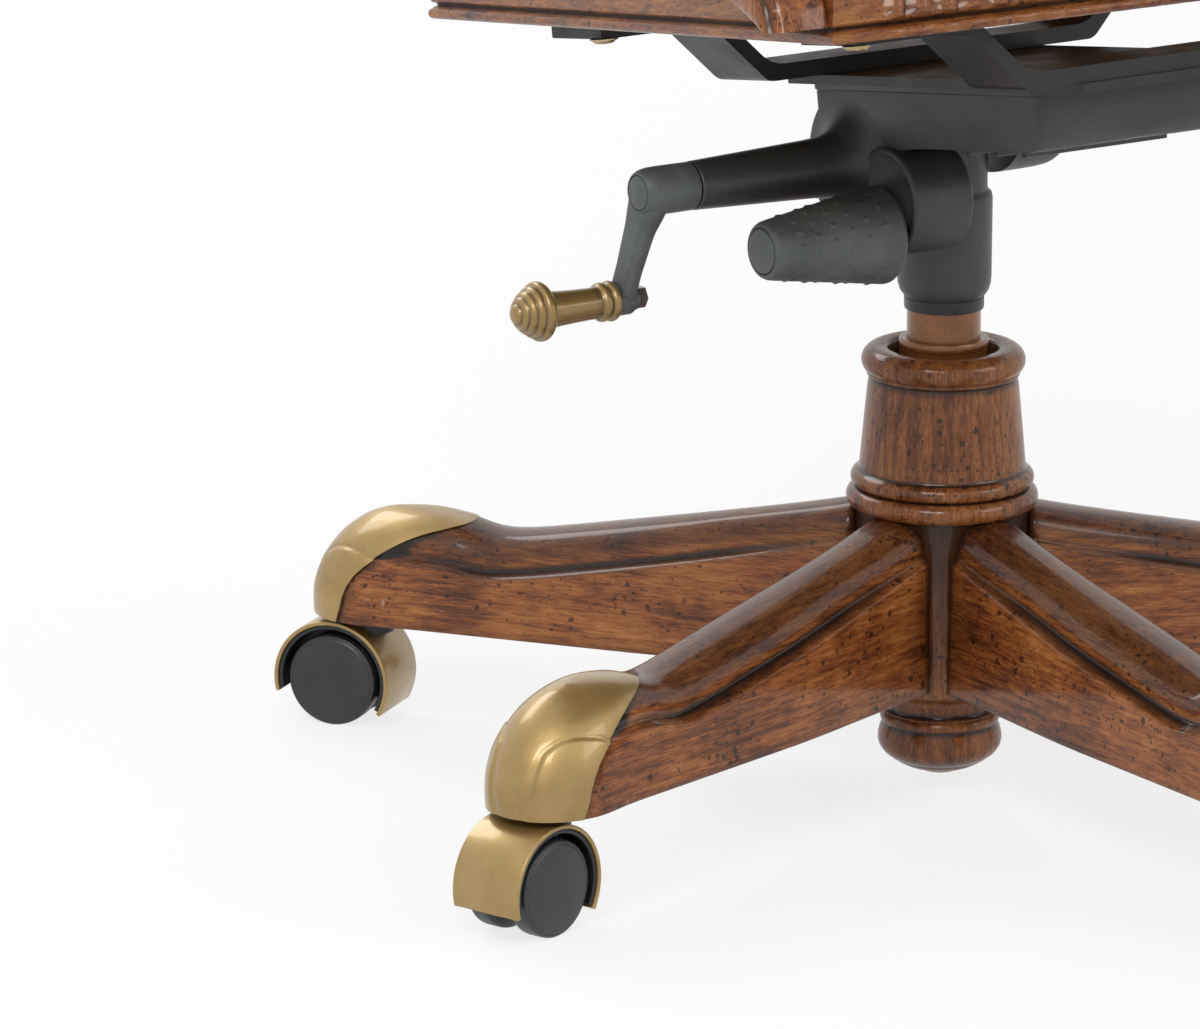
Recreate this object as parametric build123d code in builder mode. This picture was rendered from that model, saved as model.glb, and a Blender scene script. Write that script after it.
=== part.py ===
# High back office chair: turned wood pedestal with five legs on casters, gas lift, tilting seat
import os
from math import atan2, cos, degrees, hypot, radians, sin, tan

from build123d import *

os.makedirs("parts", exist_ok=True)

# Fits and gaps
running_clearance = 0.06  # radial, on every pin, shaft or sliding tube
press_clearance = 0.02  # radial, where a piece is driven into its seat
body_gap = 0.5  # between pieces that move past each other
soft_gap = 0.3  # between upholstery and the frame that carries it

# Pedestal base
leg_count = 5
front_leg_angle = 270.0  # one leg points straight ahead
stem_circle_radius = 324.0
hub_radius = 45.0
hub_bottom = 55.0
hub_top = 152.0
leg_bottom = 61.0
leg_root_top = 150.0
leg_root_station = 54.0
hub_overrun = 8.0  # the legs are drawn into the hub by this much, then cut to its face
leg_toe_top = 113.5
toe_before_stem = 62.0  # the toe starts this far inside the stem
nose_past_stem = 16.0  # the wood ends this far outside it
cap_past_stem = 33.0  # and the cap this far
leg_toe_station = stem_circle_radius - toe_before_stem
leg_nose_station = stem_circle_radius + nose_past_stem
leg_root_half_width = 26.0
leg_mid_half_width = 31.0
leg_mid_station = 160.0
ridge_height = 19.0
flank_lean = 3.0  # the flank draws in by this much from the bottom edge to the groove
groove_depth = 5.0
groove_step = 1.0  # the ridge starts this much above the groove
cap_thickness = 2.0  # the toe cap stands proud of the wood by this much
cap_nose_station = stem_circle_radius + cap_past_stem
seam_tongue = 8.0  # the cap's tongue starts this far beyond the toe
seam_tongue_drop = 2.0
seam_corner_in = 14.0  # the seam meets the groove this far inside the stem
seam_foot_out = 7.0  # and the foot this far outside it

# Post
bead_lower_radius = 50.4
bead_lower_height = 10.0
bead_upper_radius = 48.1
bead_upper_height = 9.0
post_foot_radius = 43.8
post_neck_radius = 39.0
post_neck_height = 221.0
ring_radius = 43.0
ring_tube_radius = 7.5
post_mouth_radius = 28.5
post_mouth_depth = 25.0

# Drop finial under the hub
finial_top_radius = 40.0
finial_neck_radius = 27.0
finial_neck_height = 42.0
finial_belly_radius = 32.6
finial_belly_height = 24.0
finial_bottom = 6.0
finial_turn_share = 0.72  # of the belly radius, halfway down to the tip
finial_turn_drop = 1.0

# Casters
wheel_diameter = 50.0
wheel_width = 13.0
wheel_inner_face = 7.0
wheel_edge_fillet = 2.0
axle_radius = 3.0
axle_end_recess = 1.5
caster_trail = 16.0
hood_radius = 33.0
hood_wall = 2.0
hood_width = 42.0
hood_start_angle = -15.0
hood_sweep = 226.0
web_thickness = 10.0
axle_boss_radius = 7.0
collar_radius = 12.0
collar_height = 8.5
stem_radius = 4.0
stem_boss_radius = 6.4
stem_bottom = 36.0
stem_insert = 36.0

# Tilt axle, which sets the height of the seat and the mechanism
tilt_axle_height = 362.0
tilt_axle_radius = 6.0
tilt_bush_radius = 10.5

# Gas lift
lift_travel = 100.0
tube_radius = 23.0
tube_bottom = 58.0
tube_top = 241.0
tube_floor = 4.0
cylinder_radius = 19.3
cylinder_bore_radius = 15.5
cylinder_bottom = 76.0
cylinder_below_axle = 40.0
cylinder_top = tilt_axle_height - cylinder_below_axle
cylinder_head = 22.0
cylinder_seal = 14.0
rod_radius = 5.0
piston_radius = 14.8
piston_height = 15.0
bearing_radius = 14.0
bearing_height = 6.0
thrust_flange_height = 4.0

# Column yoke
yoke_radius = 24.5
yoke_above_tube = 22.0
yoke_bottom = tube_top + yoke_above_tube
shoulder_below_axle = 44.0
yoke_shoulder = tilt_axle_height - shoulder_below_axle
yoke_neck_radius = 22.0
yoke_head_half_width = 24.0
yoke_head_radius = 14.0

# Seat frame, drawn in its own plane that is raised at the front
seat_tilt = 9.0
seat_above_axle = 67.5
seat_height = tilt_axle_height + seat_above_axle  # underside of the rails above the column axis
seat_front = -286.0
seat_rear = 181.0
seat_front_half_width = 262.0
seat_rear_half_width = 200.0
seat_bow = 20.0
rail_height = 62.0
rail_thickness = 36.0
rail_bead_height = 6.0
rail_bead_out = 2.5
rail_groove_height = 2.5
rail_groove_in = 1.5
deck_thickness = 12.0
deck_level = 44.0

# Seat cushion
cushion_rear = 128.0
cushion_height = 68.0
cushion_side_in = 8.0
cushion_bulge = 4.0
cushion_crown_in = 95.0
cushion_bulge_share = 0.3  # of the height, where the sides are fullest
cushion_shoulder_share = 0.62
cushion_turn_share = 0.86
cushion_turn_in = 28.5

# Mechanism case
case_half_width = 60.0
case_wall = 4.0
case_rear = 42.0
case_front = -158.0
case_deep_bottom = -103.0
case_front_bottom = -79.0
case_deep_front = 4.0
case_arch_front = -38.0
yoke_slot_half_width = 29.0
yoke_slot_front = -38.0
yoke_slot_height = 32.0
boss_y = -38.0
boss_radius = 28.0
boss_inner = -28.0
boss_above_lever = 16.0

# Tension crank
tube_end = -158.0
tube_tip_radius = 12.5
tube_root_radius = 15.5
shaft_radius = 7.0
shaft_inner = -42.0
shaft_collar_radius = 10.0
shaft_below_bush = 0.8  # gap between the shaft's collar and the tilt bush above it
crank_height = tilt_axle_height - tilt_bush_radius - shaft_collar_radius - shaft_below_bush
shaft_collar_length = 8.0
crank_hub_radius = 12.5
crank_arm_inner = -177.0
crank_arm_outer = -190.0
crank_throw_y = 22.0
crank_throw_z = -60.2
crank_tip_radius = 8.5
shaft_socket_depth = 16.0
handle_bolt_radius = 3.0
handle_bolt_head_radius = 6.0
handle_bolt_head = 4.0
handle_length = 60.0
handle_ring_radius = 10.0
handle_ring_length = 9.0
handle_ring_groove = 1.0
handle_waist_radius = 7.0
handle_barrel_radius = 8.5
handle_barrel_length = 28.0
handle_flange_radius = 15.3
handle_flange_length = 12.0
handle_rim_length = 5.0
handle_tip_radius = 10.0

# Height lever
lever_y = -40.0
lever_below_axle = 50.0
lever_height = tilt_axle_height - lever_below_axle
boss_height = lever_height + boss_above_lever
lever_rod_radius = 5.0
lever_pivot_x = -44.0
lever_pivot_radius = 2.5
lever_pivot_length = 18.0
lever_rod_inner = -33.0
lever_lift = 6.0
grip_root = -67.0
grip_end = -141.0
grip_root_radius = 25.5
grip_end_radius = 15.0
grip_edge_fillet = 3.0

# Seat plate and bars
plate_half_width = 70.0
plate_thickness = 5.0
plate_rear = 50.0
plate_front = -214.0
bar_thickness = 7.0
bar_width = 47.0
bar_rise = 24.5
bar_bend_inner = 99.5
bar_bend_outer = 132.0
bar_end = 174.0
bar_rear_y = 42.0
bar_front_y = -187.5
pad_thickness = 9.5
pad_width = 61.0
pad_inner = 150.0
pad_outer = 210.0
bolt_x = 196.0
bolt_offset_y = -18.0
bolt_radius = 3.0
bolt_head_radius = 7.0
bolt_head_height = 4.0
bolt_length = 30.0

# Back
back_recline = 17.0
back_foot_y = 150.0
frame_depth = 40.0
stile_top = 640.0
stile_elbow = 180.0
stile_outer_foot = 204.0
stile_outer_elbow = 236.0
stile_outer_top = 250.0
stile_width_foot = 40.0
stile_width_elbow = 50.0
stile_width_top = 44.0
crest_rise = 84.0
crest_arch = 34.0
lower_rail_bottom = 22.0
lower_rail_height = 48.0
panel_thickness = 6.0
panel_setback = 34.0
back_cushion_inset = 2.0
back_cushion_front = 46.0
back_cushion_side = 12.0
back_cushion_shoulder_in = 13.0
back_cushion_crown_in = 52.0
back_cushion_shoulder_share = 0.72  # of the front face's distance
button_radius = 10.0
button_depth = 18.0
button_height = 5.0
button_row_pitch = 92.0
button_pitch = 104.0
button_first_row = 150.0
button_rows = 5
button_columns = 3  # every second row has one more
tuft_mouth_radius = 24.0

# Arms
arm_bottom = 262.0
arm_thickness = 32.0
arm_half_width = 26.0
arm_scroll_radius = 25.0
arm_scroll_back = 42.0
arm_support_thickness = 32.0
support_foot_front = 11.0  # edges of the support, back from the front corner, at each height
support_foot_rear = 37.0
support_knee_height = 29.0
support_knee_front = 23.0
support_knee_rear = 64.0
support_shin_front = 56.0
support_shin_rear = 100.0
support_bow_height = 168.0
support_bow_front = 97.0
support_bow_rear = 143.0
support_top_front = 74.0
support_top_rear = 134.0
arm_pad_height = 22.0
arm_pad_half_width = 22.0
arm_pad_front = 118.0
arm_pad_length = 250.0
arm_pad_fillet = 9.0


def radial_plane(angle, station=0.0):
    """Upright plane through the column axis: x runs out along the angle, y runs up."""
    turn = radians(angle)
    out = Vector(cos(turn), sin(turn), 0)
    return Plane(origin=out * station, x_dir=out, z_dir=(sin(turn), -cos(turn), 0))


def station_plane(angle, station):
    """Upright plane square to a leg at a distance from the axis: y runs up."""
    turn = radians(angle)
    return Plane(
        origin=(station * cos(turn), station * sin(turn), 0),
        x_dir=(-sin(turn), cos(turn), 0),
        z_dir=(cos(turn), sin(turn), 0),
    )


def finish(piece, name):
    """Label a finished piece and write its file."""
    piece.part.label = name
    export_step(piece.part, f"parts/{name}.step")
    return piece


leg_angles = [front_leg_angle - 360.0 / leg_count * index for index in range(leg_count)]
leg_names = ["front", "front_right", "rear_right", "rear_left", "front_left"]
stem_points = [
    (stem_circle_radius * cos(radians(angle)), stem_circle_radius * sin(radians(angle)))
    for angle in leg_angles
]
wheel_radius = wheel_diameter / 2
rod_top = cylinder_bottom + cylinder_seal + lift_travel + piston_height + body_gap
case_top = -(pad_thickness + bar_thickness + bar_rise + plate_thickness)  # below the rails
lever_swing = (case_half_width + lever_pivot_x) * tan(radians(lever_lift))
lever_slot_half_height = lever_rod_radius + lever_swing + body_gap
collar_top = leg_bottom - body_gap
stem_top = leg_bottom + stem_insert

# Pedestal post, turned about the column axis
bead_lower_top = hub_top + bead_lower_height
bead_upper_top = bead_lower_top + bead_upper_height
ring_height = post_neck_height + ring_tube_radius
post_top = ring_height + ring_tube_radius
with BuildPart() as pedestal_post:
    with BuildSketch(Plane.XZ):
        with BuildLine():
            foot = Polyline(
                (tube_radius + press_clearance, hub_bottom),
                (hub_radius, hub_bottom),
                (hub_radius, hub_top),
            )
            lower_bead = ThreePointArc(
                foot @ 1,
                (bead_lower_radius, hub_top + bead_lower_height / 2),
                (hub_radius, bead_lower_top),
            )
            upper_bead = ThreePointArc(
                lower_bead @ 1,
                (bead_upper_radius, bead_lower_top + bead_upper_height / 2),
                (post_foot_radius, bead_upper_top),
            )
            flare = TangentArc(upper_bead @ 1, (post_neck_radius, post_neck_height), tangent=(-0.2, 1))
            ring = ThreePointArc(
                flare @ 1,
                (ring_radius, ring_height),
                (ring_radius - ring_tube_radius, post_top),
            )
            Polyline(
                ring @ 1,
                (post_mouth_radius, post_top),
                (post_mouth_radius, post_top - post_mouth_depth),
                (tube_radius + press_clearance, post_top - post_mouth_depth),
                foot @ 0,
            )
        make_face()
    revolve(axis=Axis.Z)
finish(pedestal_post, "pedestal_post")

# Drop finial under the hub
finial_turn = finial_belly_radius * finial_turn_share
with BuildPart() as drop_finial:
    with BuildSketch(Plane.XZ):
        with BuildLine():
            cap_edge = Line((0, hub_bottom), (finial_top_radius, hub_bottom))
            neck = ThreePointArc(
                cap_edge @ 1,
                (finial_neck_radius, finial_neck_height),
                (finial_belly_radius, finial_belly_height),
            )
            belly = Spline(
                neck @ 1,
                (finial_turn, (finial_belly_height + finial_bottom) / 2 - finial_turn_drop),
                (0, finial_bottom),
                tangents=[(0, -1), (-1, -0.15)],
            )
            Line(belly @ 1, cap_edge @ 0)
        make_face()
    revolve(axis=Axis.Z)
finish(drop_finial, "drop_finial")


def ridge_top(station):
    """Height of the leg's ridge, falling in a straight line from the hub to the toe."""
    fall = (leg_root_top - leg_toe_top) / (leg_toe_station - leg_root_station)
    return leg_root_top - fall * (station - leg_root_station)


def leg_outline(half_width, bottom, top):
    """Leg section: flat foot, leaning flanks, a groove on each side and a round ridge."""
    groove_height = top - ridge_height * (top - bottom) / (leg_toe_top - leg_bottom)
    groove_height = max(groove_height, top - ridge_height)
    shoulder = half_width - flank_lean
    ridge_foot = groove_height + groove_step
    ridge_half = shoulder - groove_depth * half_width / leg_mid_half_width
    with BuildSketch() as outline:
        with BuildLine():
            base = Line((-half_width, bottom), (half_width, bottom))
            left = Polyline(base @ 0, (-shoulder, groove_height), (-ridge_half, ridge_foot))
            right = Polyline(base @ 1, (shoulder, groove_height), (ridge_half, ridge_foot))
            ThreePointArc(left @ 1, (0, top), right @ 1)
        make_face()
    return outline.sketch


def cap_region(angle):
    """Solid over the end of a leg that the toe cap covers: its rear edge is the seam."""
    tongue = leg_toe_station + seam_tongue
    foot = stem_circle_radius + seam_foot_out
    with BuildPart() as region:
        with BuildSketch(radial_plane(angle)):
            Polygon(
                (tongue, leg_root_top),
                (tongue, leg_toe_top - seam_tongue_drop),
                (stem_circle_radius - seam_corner_in, leg_toe_top - ridge_height),
                (foot, leg_bottom),
                (foot, leg_bottom - ridge_height),
                (cap_nose_station + ridge_height, leg_bottom - ridge_height),
                (cap_nose_station + ridge_height, leg_root_top),
                align=None,
            )
        extrude(amount=2 * leg_mid_half_width, both=True)
    return region.part


def leg_body(angle, point):
    """One wood leg, seated on the hub and cut back where its toe cap sits."""
    with BuildPart() as body:
        for station, half_width in (
            (hub_radius - hub_overrun, leg_root_half_width),
            (leg_mid_station, leg_mid_half_width),
            (leg_nose_station, leg_mid_half_width),
        ):
            with BuildSketch(station_plane(angle, station)):
                add(leg_outline(half_width, leg_bottom, ridge_top(station)))
        loft(ruled=True)
        with BuildSketch(Plane.XY):
            Circle(hub_radius + press_clearance)
        extrude(amount=2 * leg_root_top, mode=Mode.SUBTRACT)
        add(cap_region(angle), mode=Mode.SUBTRACT)
        with BuildSketch(Plane.XY.offset(leg_bottom)):
            with Locations(point):
                Circle(stem_radius + press_clearance)
        extrude(amount=stem_insert, mode=Mode.SUBTRACT)
    return body


def cap_body(angle, point):
    """One cast toe cap: the nose of the leg, split from the wood along the seam."""
    with BuildPart() as body:
        for station, share, drop, rise in nose_sections:
            with BuildSketch(station_plane(angle, station)):
                half_width = (leg_mid_half_width + cap_thickness) * share
                add(leg_outline(half_width, leg_bottom - drop, ridge_top(station) + rise))
        loft()
        add(cap_region(angle), mode=Mode.INTERSECT)
        with BuildSketch(Plane.XY.offset(leg_bottom)):
            with Locations(point):
                Circle(stem_radius + press_clearance)
        extrude(amount=stem_insert, mode=Mode.SUBTRACT)
        with BuildSketch(Plane.XY.offset(leg_bottom - ridge_height)):
            with Locations(point):
                Circle(collar_radius + body_gap)
        extrude(amount=ridge_height, mode=Mode.SUBTRACT)
    return body


# Sections of the toe cap: station, share of the full width, drop of the foot, rise of the ridge
nose_sections = (
    (leg_toe_station, 1.0, 0.0, cap_thickness),
    (stem_circle_radius - seam_corner_in, 1.0, 0.5, 13.5),
    (stem_circle_radius + seam_foot_out, 0.91, 1.5, 11.5),
    (cap_nose_station - 2 * seam_foot_out, 0.77, 2.5, 5.5),
    (cap_nose_station - cap_thickness, 0.48, 1.0, -9.0),
    (cap_nose_station, 0.32, -2.0, -15.0),
)

for angle, point, leg_name in zip(leg_angles, stem_points, leg_names):
    finish(leg_body(angle, point), f"leg_{leg_name}")

with BuildPart() as toe_caps:
    for angle, point in zip(leg_angles, stem_points):
        add(cap_body(angle, point).part)
finish(toe_caps, "toe_caps")

# Caster stems, driven into the legs from below
with BuildPart() as caster_stems:
    with BuildSketch(Plane.XY.offset(stem_bottom)):
        with Locations(*stem_points):
            Circle(stem_radius)
    extrude(amount=stem_top - stem_bottom)
finish(caster_stems, "caster_stems")


def caster_hood(angle, point):
    """Curved cover over the wheels, open at the sides, with a hole for the collar."""
    with BuildPart() as hood:
        with BuildSketch(radial_plane(angle, stem_circle_radius)):
            with BuildLine():
                outer = CenterArc(axle_point, hood_radius, hood_start_angle, hood_sweep)
                inner = CenterArc(axle_point, hood_radius - hood_wall, hood_start_angle, hood_sweep)
                Line(outer @ 0, inner @ 0)
                Line(outer @ 1, inner @ 1)
            make_face()
        extrude(amount=hood_width / 2, both=True)
        with BuildSketch(Plane.XY.offset(wheel_radius)):
            with Locations(point):
                Circle(collar_radius + press_clearance)
        extrude(amount=2 * hood_radius, mode=Mode.SUBTRACT)
    return hood


def caster_frame(angle, point):
    """Web between the wheels with the axle, the boss on the stem and the collar under the leg."""
    web_radius = hood_radius - hood_wall - press_clearance
    with BuildPart() as body:
        with BuildSketch(radial_plane(angle, stem_circle_radius)):
            with BuildLine():
                rim = CenterArc(axle_point, web_radius, hood_start_angle, hood_sweep)
                Line(axle_point, rim @ 0)
                Line(axle_point, rim @ 1)
            make_face()
            with Locations(axle_point):
                Circle(axle_boss_radius)
        extrude(amount=web_thickness / 2, both=True)
        with BuildSketch(radial_plane(angle, stem_circle_radius)):
            with Locations(axle_point):
                Circle(axle_radius)
        extrude(amount=wheel_inner_face + wheel_width - axle_end_recess, both=True)
        with BuildSketch(Plane.XY.offset(stem_bottom - web_thickness / 2)):
            with Locations(point):
                Circle(stem_boss_radius)
        extrude(amount=collar_top - stem_bottom)
        with BuildSketch(Plane.XY.offset(collar_top - collar_height)):
            with Locations(point):
                Circle(collar_radius)
        extrude(amount=collar_height)
        with BuildSketch(Plane.XY.offset(stem_bottom - body_gap)):
            with Locations(point):
                Circle(stem_radius + running_clearance)
        extrude(amount=collar_top, mode=Mode.SUBTRACT)
    return body


def caster_wheels(angle):
    """The two plain wheels of one caster, each free on the axle."""
    with BuildPart() as pair:
        for side in (-1, 1):
            with BuildSketch(radial_plane(angle, stem_circle_radius).offset(side * wheel_inner_face)):
                with Locations(axle_point):
                    Circle(wheel_radius)
                    Circle(axle_radius + running_clearance, mode=Mode.SUBTRACT)
            extrude(amount=side * wheel_width)
        fillet(pair.edges().filter_by(GeomType.CIRCLE).group_by(SortBy.RADIUS)[-1], wheel_edge_fillet)
    return pair


axle_point = (caster_trail, wheel_radius)
for angle, point, leg_name in zip(leg_angles, stem_points, leg_names):
    finish(caster_hood(angle, point), f"caster_hood_{leg_name}")
    finish(caster_frame(angle, point), f"caster_frame_{leg_name}")
    finish(caster_wheels(angle), f"caster_wheels_{leg_name}")

# Gas lift: outer tube in the post, bearing, piston rod, and the cylinder that rises
with BuildPart() as column_tube:
    with BuildSketch(Plane.XY.offset(tube_bottom)):
        Circle(tube_radius)
        Circle(rod_radius + running_clearance, mode=Mode.SUBTRACT)
    extrude(amount=tube_floor)
    with BuildSketch(Plane.XY.offset(tube_bottom)):
        Circle(tube_radius)
        Circle(cylinder_radius + running_clearance, mode=Mode.SUBTRACT)
    extrude(amount=tube_top - tube_bottom)
finish(column_tube, "column_tube")

bearing_bottom = tube_bottom + tube_floor
with BuildPart() as thrust_bearing:
    with BuildSketch(Plane.XY.offset(bearing_bottom)):
        Circle(bearing_radius)
        Circle(rod_radius + running_clearance, mode=Mode.SUBTRACT)
    extrude(amount=bearing_height)
finish(thrust_bearing, "thrust_bearing")

flange_bottom = bearing_bottom + bearing_height + running_clearance
with BuildPart() as piston_rod:
    with BuildSketch(Plane.XY.offset(tube_bottom)):
        Circle(rod_radius)
    extrude(amount=rod_top - tube_bottom)
    with BuildSketch(Plane.XY.offset(flange_bottom)):
        Circle(bearing_radius)
    extrude(amount=thrust_flange_height)
    with BuildSketch(Plane.XY.offset(rod_top - piston_height)):
        Circle(piston_radius)
    extrude(amount=piston_height)
finish(piston_rod, "piston_rod")

with BuildPart() as lift_cylinder:
    with BuildSketch(Plane.XY.offset(cylinder_bottom)):
        Circle(cylinder_radius)
        Circle(rod_radius + running_clearance, mode=Mode.SUBTRACT)
    extrude(amount=cylinder_seal)
    with BuildSketch(Plane.XY.offset(cylinder_bottom)):
        Circle(cylinder_radius)
        Circle(cylinder_bore_radius, mode=Mode.SUBTRACT)
    extrude(amount=cylinder_top - cylinder_bottom)
    with BuildSketch(Plane.XY.offset(cylinder_top - cylinder_head)):
        Circle(cylinder_radius)
    extrude(amount=cylinder_head)
finish(lift_cylinder, "lift_cylinder")

# Column yoke: socket on the cylinder with a head that carries the tilt axle
with BuildPart() as column_yoke:
    with BuildSketch(Plane.XY.offset(yoke_bottom)):
        Circle(yoke_radius)
    extrude(amount=yoke_shoulder - yoke_bottom)
    with BuildSketch(Plane.XY.offset(yoke_shoulder)):
        Circle(yoke_neck_radius)
    extrude(amount=tilt_axle_height - yoke_head_radius - yoke_shoulder)
    with BuildSketch(Plane.YZ):
        with Locations((0, tilt_axle_height)):
            Circle(yoke_head_radius)
        with Locations((0, tilt_axle_height - yoke_head_radius)):
            Rectangle(2 * yoke_head_radius, 2 * yoke_head_radius)
    extrude(amount=yoke_head_half_width, both=True)
    with BuildSketch(Plane.XY.offset(yoke_bottom)):
        Circle(cylinder_radius + press_clearance)
    extrude(amount=cylinder_top - yoke_bottom, mode=Mode.SUBTRACT)
    with BuildSketch(Plane.YZ):
        with Locations((0, tilt_axle_height)):
            Circle(tilt_axle_radius + press_clearance)
    extrude(amount=yoke_radius + yoke_head_half_width, both=True, mode=Mode.SUBTRACT)
finish(column_yoke, "column_yoke")

axle_half_length = case_half_width - body_gap
with BuildPart() as tilt_axle:
    with BuildSketch(Plane.YZ):
        with Locations((0, tilt_axle_height)):
            Circle(tilt_axle_radius)
    extrude(amount=axle_half_length, both=True)
finish(tilt_axle, "tilt_axle")

bush_length = case_half_width - case_wall - yoke_head_half_width - 2 * body_gap
with BuildPart() as tilt_bushes:
    for side in (-1, 1):
        with BuildSketch(Plane.YZ.offset(side * (yoke_head_half_width + body_gap))):
            with Locations((0, tilt_axle_height)):
                Circle(tilt_bush_radius)
                Circle(tilt_axle_radius + running_clearance, mode=Mode.SUBTRACT)
        extrude(amount=side * bush_length)
finish(tilt_bushes, "tilt_bushes")

# Seat frame of reference: x across, y back along the seat, z square to it
tilt = radians(seat_tilt)
seat_back_dir = Vector(0, cos(tilt), -sin(tilt))
seat_up_dir = Vector(0, sin(tilt), cos(tilt))
seat_up_axis = Axis((0, 0, seat_height), seat_up_dir)
seat_plane = Plane(origin=(0, 0, seat_height), x_dir=(1, 0, 0), z_dir=seat_up_dir)
seat_side = Plane(origin=(0, 0, seat_height), x_dir=seat_back_dir, z_dir=(1, 0, 0))


def across(x, y, z):
    """Plane square to the x axis at a point, facing the right-hand side: y runs up."""
    return Plane(origin=(x, y, z), x_dir=(0, -1, 0), z_dir=(-1, 0, 0))


def case_profile(inset):
    """Side view of the mechanism case, drawn in by a wall."""
    with BuildSketch() as profile:
        with BuildLine():
            rear = Polyline(
                (case_rear - inset, case_top + inset),
                (case_rear - inset, case_deep_bottom + inset),
                (case_deep_front + inset, case_deep_bottom + inset),
            )
            arch = RadiusArc(
                rear @ 1,
                (case_arch_front, case_front_bottom + inset),
                hypot(case_deep_front - case_arch_front, case_front_bottom - case_deep_bottom),
            )
            Polyline(
                arch @ 1,
                (case_front + inset, case_front_bottom + inset),
                (case_front + inset, case_top + inset),
                rear @ 0,
            )
        make_face()
    return profile.sketch


with BuildPart() as mechanism_case:
    with BuildSketch(seat_side):
        add(case_profile(0))
    extrude(amount=case_half_width, both=True)
    with BuildSketch(across(boss_inner, boss_y, boss_height)):
        Circle(boss_radius)
    extrude(amount=case_half_width + boss_inner)
    with BuildSketch(across(-case_half_width + case_wall, 0, crank_height)):
        Circle(tube_root_radius)
    with BuildSketch(across(tube_end, 0, crank_height)):
        Circle(tube_tip_radius)
    loft()
    with BuildSketch(seat_side):
        add(case_profile(case_wall))
        with Locations(((case_rear + case_front) / 2, case_top)):
            Rectangle(case_rear - case_front - 2 * case_wall, 3 * case_wall)
    extrude(amount=case_half_width - case_wall, both=True, mode=Mode.SUBTRACT)
    with BuildSketch(seat_plane.offset(case_deep_bottom - case_wall)):
        with Locations((0, (case_rear + yoke_slot_front) / 2)):
            Rectangle(2 * yoke_slot_half_width, case_rear - yoke_slot_front + 2 * case_wall)
    extrude(amount=yoke_slot_height, mode=Mode.SUBTRACT)
    with BuildSketch(Plane.YZ):
        with Locations((0, tilt_axle_height)):
            Circle(tilt_axle_radius + running_clearance)
    extrude(amount=2 * case_half_width, both=True, mode=Mode.SUBTRACT)
    with BuildSketch(across(shaft_inner, 0, crank_height)):
        Circle(shaft_radius + running_clearance)
    extrude(amount=shaft_inner - tube_end, mode=Mode.SUBTRACT)
    with BuildSketch(across(lever_rod_inner + body_gap, lever_y, lever_height)):
        Rectangle(2 * (lever_rod_radius + body_gap), 2 * lever_slot_half_height)
    extrude(amount=2 * case_half_width, mode=Mode.SUBTRACT)
    with BuildSketch(Plane(origin=(lever_pivot_x, lever_y, lever_height), z_dir=(0, 1, 0))):
        Circle(lever_pivot_radius + running_clearance)
    extrude(amount=lever_pivot_length / 2 + body_gap, both=True, mode=Mode.SUBTRACT)
finish(mechanism_case, "mechanism_case")

# Tension crank: shaft in the tube, cast arm, turned handle on its bolt
with BuildPart() as crank_shaft:
    with BuildSketch(across(-case_half_width + case_wall + body_gap, 0, crank_height)):
        Circle(shaft_radius)
    extrude(amount=-case_half_width + case_wall + body_gap - tube_end + shaft_socket_depth)
    with BuildSketch(across(-case_half_width + case_wall + shaft_collar_length, 0, crank_height)):
        Circle(shaft_collar_radius)
    extrude(amount=shaft_collar_length - body_gap)
finish(crank_shaft, "crank_shaft")

handle_y = crank_throw_y
handle_z = crank_height + crank_throw_z
with BuildPart() as crank_arm:
    with BuildSketch(across(tube_end - body_gap, 0, crank_height)):
        Circle(crank_hub_radius)
    extrude(amount=tube_end - body_gap - crank_arm_outer)
    with BuildSketch(across(crank_arm_inner, 0, crank_height)):
        with BuildLine():
            CenterArc((0, 0), crank_hub_radius, 0, 360)
            CenterArc((-crank_throw_y, crank_throw_z), crank_tip_radius, 0, 360)
        make_hull()
    extrude(amount=crank_arm_inner - crank_arm_outer)
    with BuildSketch(across(tube_end, 0, crank_height)):
        Circle(shaft_radius + press_clearance)
    extrude(amount=shaft_socket_depth, mode=Mode.SUBTRACT)
    with BuildSketch(across(crank_arm_inner, handle_y, handle_z)):
        Circle(handle_bolt_radius + press_clearance)
    extrude(amount=crank_arm_inner - crank_arm_outer, mode=Mode.SUBTRACT)
finish(crank_arm, "crank_arm")

handle_start = crank_arm_outer - body_gap
bolt_seat = handle_start - handle_length + handle_flange_length
with BuildPart() as handle_bolt:
    with BuildSketch(across(crank_arm_inner + handle_bolt_head, handle_y, handle_z)):
        RegularPolygon(handle_bolt_head_radius, 6)
    extrude(amount=handle_bolt_head)
    with BuildSketch(across(crank_arm_inner, handle_y, handle_z)):
        Circle(handle_bolt_radius)
    extrude(amount=crank_arm_inner - bolt_seat)
finish(handle_bolt, "handle_bolt")

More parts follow.
